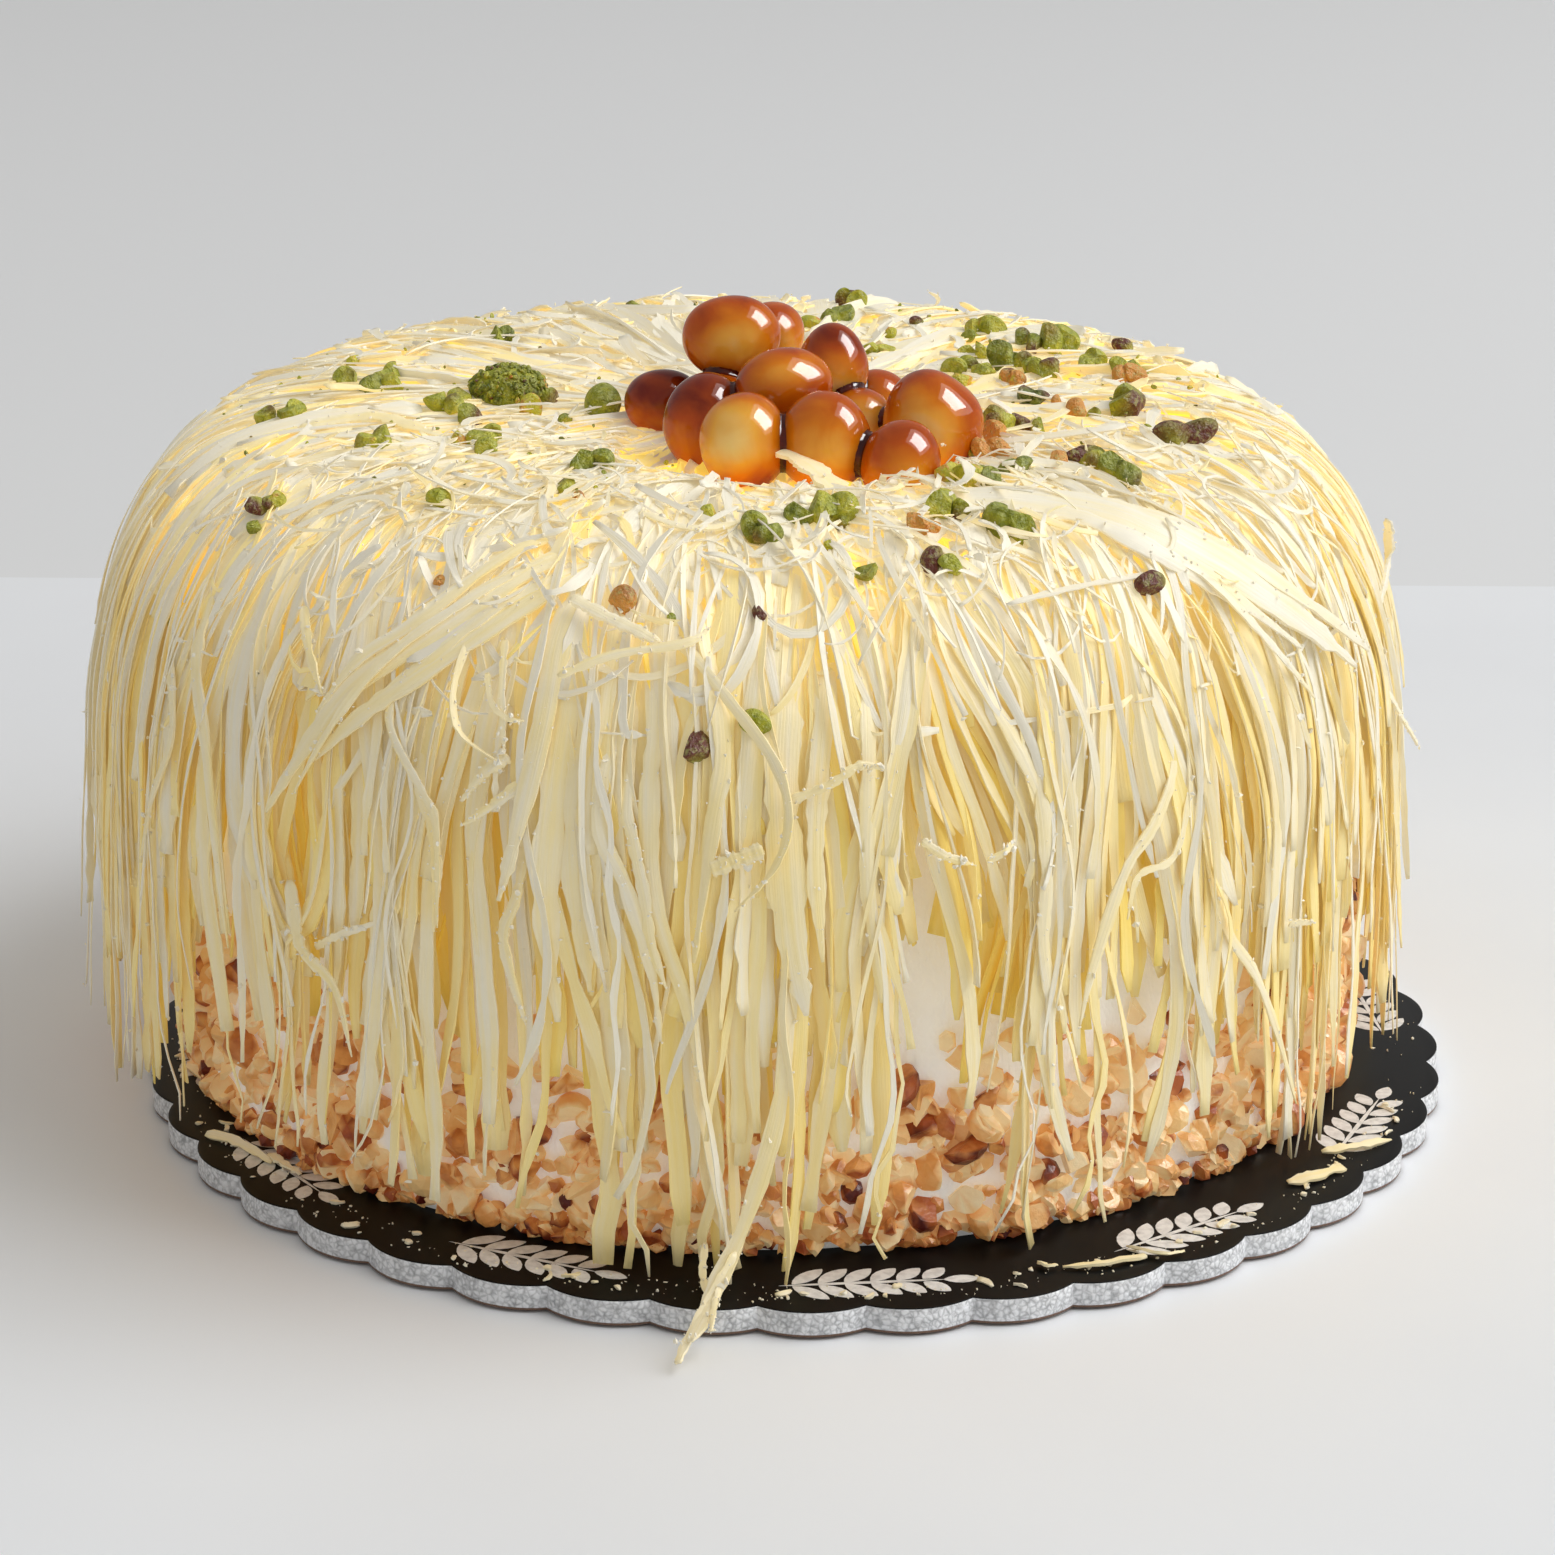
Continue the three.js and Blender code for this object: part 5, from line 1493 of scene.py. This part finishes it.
def crumb_shape():
    """Points and faces of one round crumb."""
    deselect_all()
    bpy.ops.mesh.primitive_ico_sphere_add(subdivisions=1, radius=1)
    crumb = bpy.context.object
    points, faces = corner_points(crumb) * MM, triangles_of(crumb)
    bpy.data.objects.remove(crumb)
    return points, faces


def crumbs_at(dice, places, sizes):
    """Small uneven crumbs, one at each place."""
    shape, faces = crumb_shape()
    count = len(places)
    uneven = shape[None] * dice.uniform(0.3, 1.5, (count, len(shape), 1))
    uneven = uneven * dice.uniform(0.4, 1.5, (count, 1, 3))
    points = places[:, None] + uneven * sizes[:, None, None]
    shift = np.arange(count)[:, None, None] * len(shape)
    grain = points * 0.5
    return {
        "points": points.reshape(-1, 3),
        "faces": [(faces[None] + shift).reshape(-1, 3)],
        "marks": {
            "grain": grain.reshape(-1, 3),
            "tone_and_painted_glow": np.full(count * len(shape), 0.02),
            "rim": np.zeros(count * len(shape)),
        },
    }


def clinging_crumbs(dice, batches, count):
    """White dust and crumbs that cling to the outer strands."""
    spots = []
    for batch in batches:
        points = batch["points"]
        off_axis = np.hypot(points[:, 0] - COAT_CENTRE[0], points[:, 1] - COAT_CENTRE[1])
        coat_top = np.interp(off_axis, coat_line[:, 0], coat_line[:, 1])
        outermost = points[(off_axis > COAT_RADIUS - 2.5) | (points[:, 2] > coat_top)]
        spots.append(outermost[dice.integers(0, len(outermost), count // len(batches))])
    places = np.concatenate(spots)
    out = places - np.array([COAT_CENTRE[0], COAT_CENTRE[1], 60])
    places = places + unit(out) * 0.15 + dice.normal(0, 0.25, places.shape)
    places[:, 2] = np.maximum(places[:, 2], BOARD_THICKNESS + 0.5)
    sizes = np.exp(dice.normal(math.log(0.2), 0.5, len(places)))
    return crumbs_at(dice, places, np.clip(sizes, 0.08, 0.8))


def board_ring(dice, count, inner=119.5, outer=127.0):
    """Random places on the free ring of the board, most of them in front."""
    in_front = dice.random(count) < 0.65
    angle = np.where(in_front, dice.normal(-math.pi / 2, 0.75, count), dice.uniform(0, TURN, count))
    reach = dice.uniform(inner, outer, count)
    return np.stack([reach * np.cos(angle), reach * np.sin(angle)], -1)


# The shreds on the board: where each runs, and its width.
FALLEN = [
    ([(-112, -57), (-105, -62), (-98, -70)], 1.7), ([(48, -112.5), (55, -112), (63, -108)], 1.3),
    ([(92, -76), (97, -74), (103, -69)], 2.4), ([(100, -62), (107, -60), (114, -56)], 1.4),
    ([(-15, -119.5), (-14, -126), (-13.5, -128)], 1.8), ([(-99, -66), (-95, -72), (-92, -75)], 1.6),
    ([(60, -104), (66, -108), (70, -106)], 1.6), ([(44, -111), (45, -113), (47, -112)], 1.4),
]
SLIVERS = 60
SPECKS = 420


def make_board_shreds(finish):
    """Shreds, slivers and crumbs that fell on the board."""
    dice = np.random.default_rng(12)
    top = BOARD_THICKNESS
    batches = []
    rows = 12
    for stops, width in FALLEN:
        flat = smooth_route(stops, rows)
        height = top + 0.7 + 0.5 * np.sin(np.linspace(0, math.pi, rows)) + dice.normal(0, 0.1, rows)
        points = np.column_stack([flat, height])
        share = tapered(dice, 1, rows, (0.1, 0.2), (0.2, 0.4), 0.2)
        up = np.tile(np.array([0, 0, 1.0]), (rows, 1))
        roll = dice.normal(0, 0.4) + np.zeros((1, rows))
        batches.append(ribbons(dice, points[None], up[None], width * 0.5 * share, 0.2 * share + 0.05, roll,
                               np.full((1, rows), 0.15), BROAD, 0.1))
    count = SLIVERS
    middle = board_ring(dice, count, 120.5, 126.0)
    heading = dice.uniform(0, TURN, (count, 1))
    length = np.exp(dice.uniform(math.log(1.0), math.log(4.0), (count, 1)))
    row = np.linspace(-0.5, 0.5, 5)[None]
    x = middle[:, :1] + np.cos(heading + row * 0.6) * length * row
    y = middle[:, 1:] + np.sin(heading + row * 0.6) * length * row
    points = np.stack([x, y, np.full_like(x, top + 0.35)], -1)
    share = tapered(dice, count, 5, (0.2, 0.3), (0.3, 0.5), 0.1)
    up = np.broadcast_to(np.array([0, 0, 1.0]), points.shape)
    batches.append(ribbons(dice, points, up, dice.uniform(0.25, 0.6, (count, 1)) * share, 0.22 * share + 0.04,
                           dice.normal(0, 0.3, (count, 1)) + 0 * row, np.full((count, 5), 0.08)))
    specks = board_ring(dice, SPECKS)
    places = np.column_stack([specks, np.full(len(specks), top + 0.12)])
    sizes = np.exp(dice.normal(math.log(0.16), 0.45, len(specks)))
    batches.append(crumbs_at(dice, places, np.clip(sizes, 0.06, 0.5)))
    piece = piece_from("board_shreds", joined(batches))
    piece.data.materials.append(finish)
    return piece


# ---------------------------------------------------------------- stage, light and camera


def area_light(name, place, width, height, power, tint=(1, 1, 1)):
    """A soft rectangular light, in metres, turned to the cake."""
    lamp = bpy.data.lights.new(name, "AREA")
    lamp.shape = "RECTANGLE"
    lamp.size, lamp.size_y = width, height
    lamp.energy = power
    lamp.color = tint
    holder = bpy.data.objects.new(name, lamp)
    holder.location = place
    toward_cake = Vector((0, 0, 0.1)) - Vector(place)
    holder.rotation_euler = toward_cake.to_track_quat("-Z", "Y").to_euler()
    bpy.context.scene.collection.objects.link(holder)
    return holder


BACK_OF_FLOOR = 0.342                # in metres behind the cake, where the floor turns greyer


def make_stage():
    """A pale floor that turns greyer behind the cake, and soft studio light from above and the right."""
    deselect_all()
    bpy.ops.mesh.primitive_plane_add(size=12.0, location=(0, 0, -0.0005))
    floor = bpy.context.object
    floor.name = "floor"
    finish = new_finish("pale_floor")
    spot = place_on_object(finish)
    depth = add_node(finish, "ShaderNodeSeparateXYZ", {"Vector": spot}).outputs["Y"]
    clouds = noise(finish, spot, 6.0, 3.0)
    near = ramp(finish, clouds, [(0.3, colour(236, 238, 241)), (0.7, colour(242, 244, 247))])
    beyond = maths(finish, "GREATER_THAN", depth, BACK_OF_FLOOR)
    plug(finish, mixed(finish, beyond, near, colour(231, 232, 233)), "Base Color")
    set_shader(finish, Roughness=0.5, Specular_IOR_Level=0.3)
    floor.data.materials.append(finish)
    world = bpy.data.worlds.new("studio")
    bpy.context.scene.world = world
    world.use_nodes = True
    world.node_tree.nodes["Background"].inputs["Color"].default_value = (1.0, 0.985, 0.965, 1)
    world.node_tree.nodes["Background"].inputs["Strength"].default_value = 0.43
    area_light("key_softbox", (2.35, -0.15, 2.45), 3.0, 3.3, 86.0, (0.985, 0.995, 1.0))
    shine = area_light("highlight_softbox", (2.35, -0.3, 2.35), 1.8, 2.1, 260.0)
    shine.visible_diffuse = False


def make_camera():
    """The camera that took the picture."""
    camera = bpy.data.cameras.new("camera")
    camera.sensor_width = SENSOR
    camera.lens = LENS
    camera.clip_start, camera.clip_end = 0.01, 50
    holder = bpy.data.objects.new("camera", camera)
    holder.rotation_mode = "QUATERNION"
    forward = Vector(sight_line(PICTURE / 2, PICTURE / 2))
    level = forward.to_track_quat("-Z", "Y")
    holder.rotation_quaternion = level @ Matrix.Rotation(CAMERA_ROLL, 3, "Z").to_quaternion()
    holder.location = Vector(CAMERA_PLACE) * MM
    bpy.context.scene.collection.objects.link(holder)
    bpy.context.scene.camera = holder
    bpy.context.scene.view_settings.view_transform = "Standard"


# ---------------------------------------------------------------- making


def hand_in(piece, slot, *nodes):
    """Puts a piece on the root body, and hides the nodes that it takes the place of. Its slot is not used."""
    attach(piece, "root")
    if nodes:
        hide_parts(*nodes)


def node_box(name):
    """The two corners of a node's box, in millimetres."""
    low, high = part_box(name)
    return np.array(low) / MM, np.array(high) / MM


make_camera()
make_stage()

board = make_board()
board.data.materials.append(board_card())
hand_in(board, "board", "board")
sprigs = make_sprigs()
sprigs.data.materials.append(white_print())
hand_in(sprigs, "board")

cream = make_cream()
cream.data.materials.append(whipped_cream())
hand_in(cream, "cake", "cake")
crust = make_crust()
crust.data.materials.append(chopped_nuts())
hand_in(crust, "cake")

chocolate = white_chocolate()
shaving_pieces = make_shavings(chocolate, chocolate_dust())
for piece in shaving_pieces:
    hand_in(piece, "shavings", "shavings")
board_shreds = make_board_shreds(chocolate)
hand_in(board_shreds, "shavings", "loose_shred_1", "loose_shred_2", "loose_shred_3", "loose_shred_4")

glaze = caramel_glaze()
for number, nut in enumerate(HAZELNUTS, 1):
    hazelnut = make_hazelnut(number, *nut)
    paint_hazelnut(hazelnut, number)
    hazelnut.data.materials.append(glaze)
    hand_in(hazelnut, "glazed_hazelnut", f"hazelnut_{number:02d}")
pool = make_set_caramel()
pool.data.materials.append(set_caramel())
hand_in(pool, "glazed_hazelnut")

green = pistachio_green()
pistachios = make_pistachios()
lump = make_pistachio_cluster(*node_box("pistachio_cluster"))
kernel = make_whole_pistachio(*node_box("pistachio_kernel"))
for piece, nodes in ((pistachios, ()), (lump, ("pistachio_cluster",)), (kernel, ("pistachio_kernel",))):
    piece.data.materials.append(green)
    hand_in(piece, "pistachio", *nodes)

deselect_all()
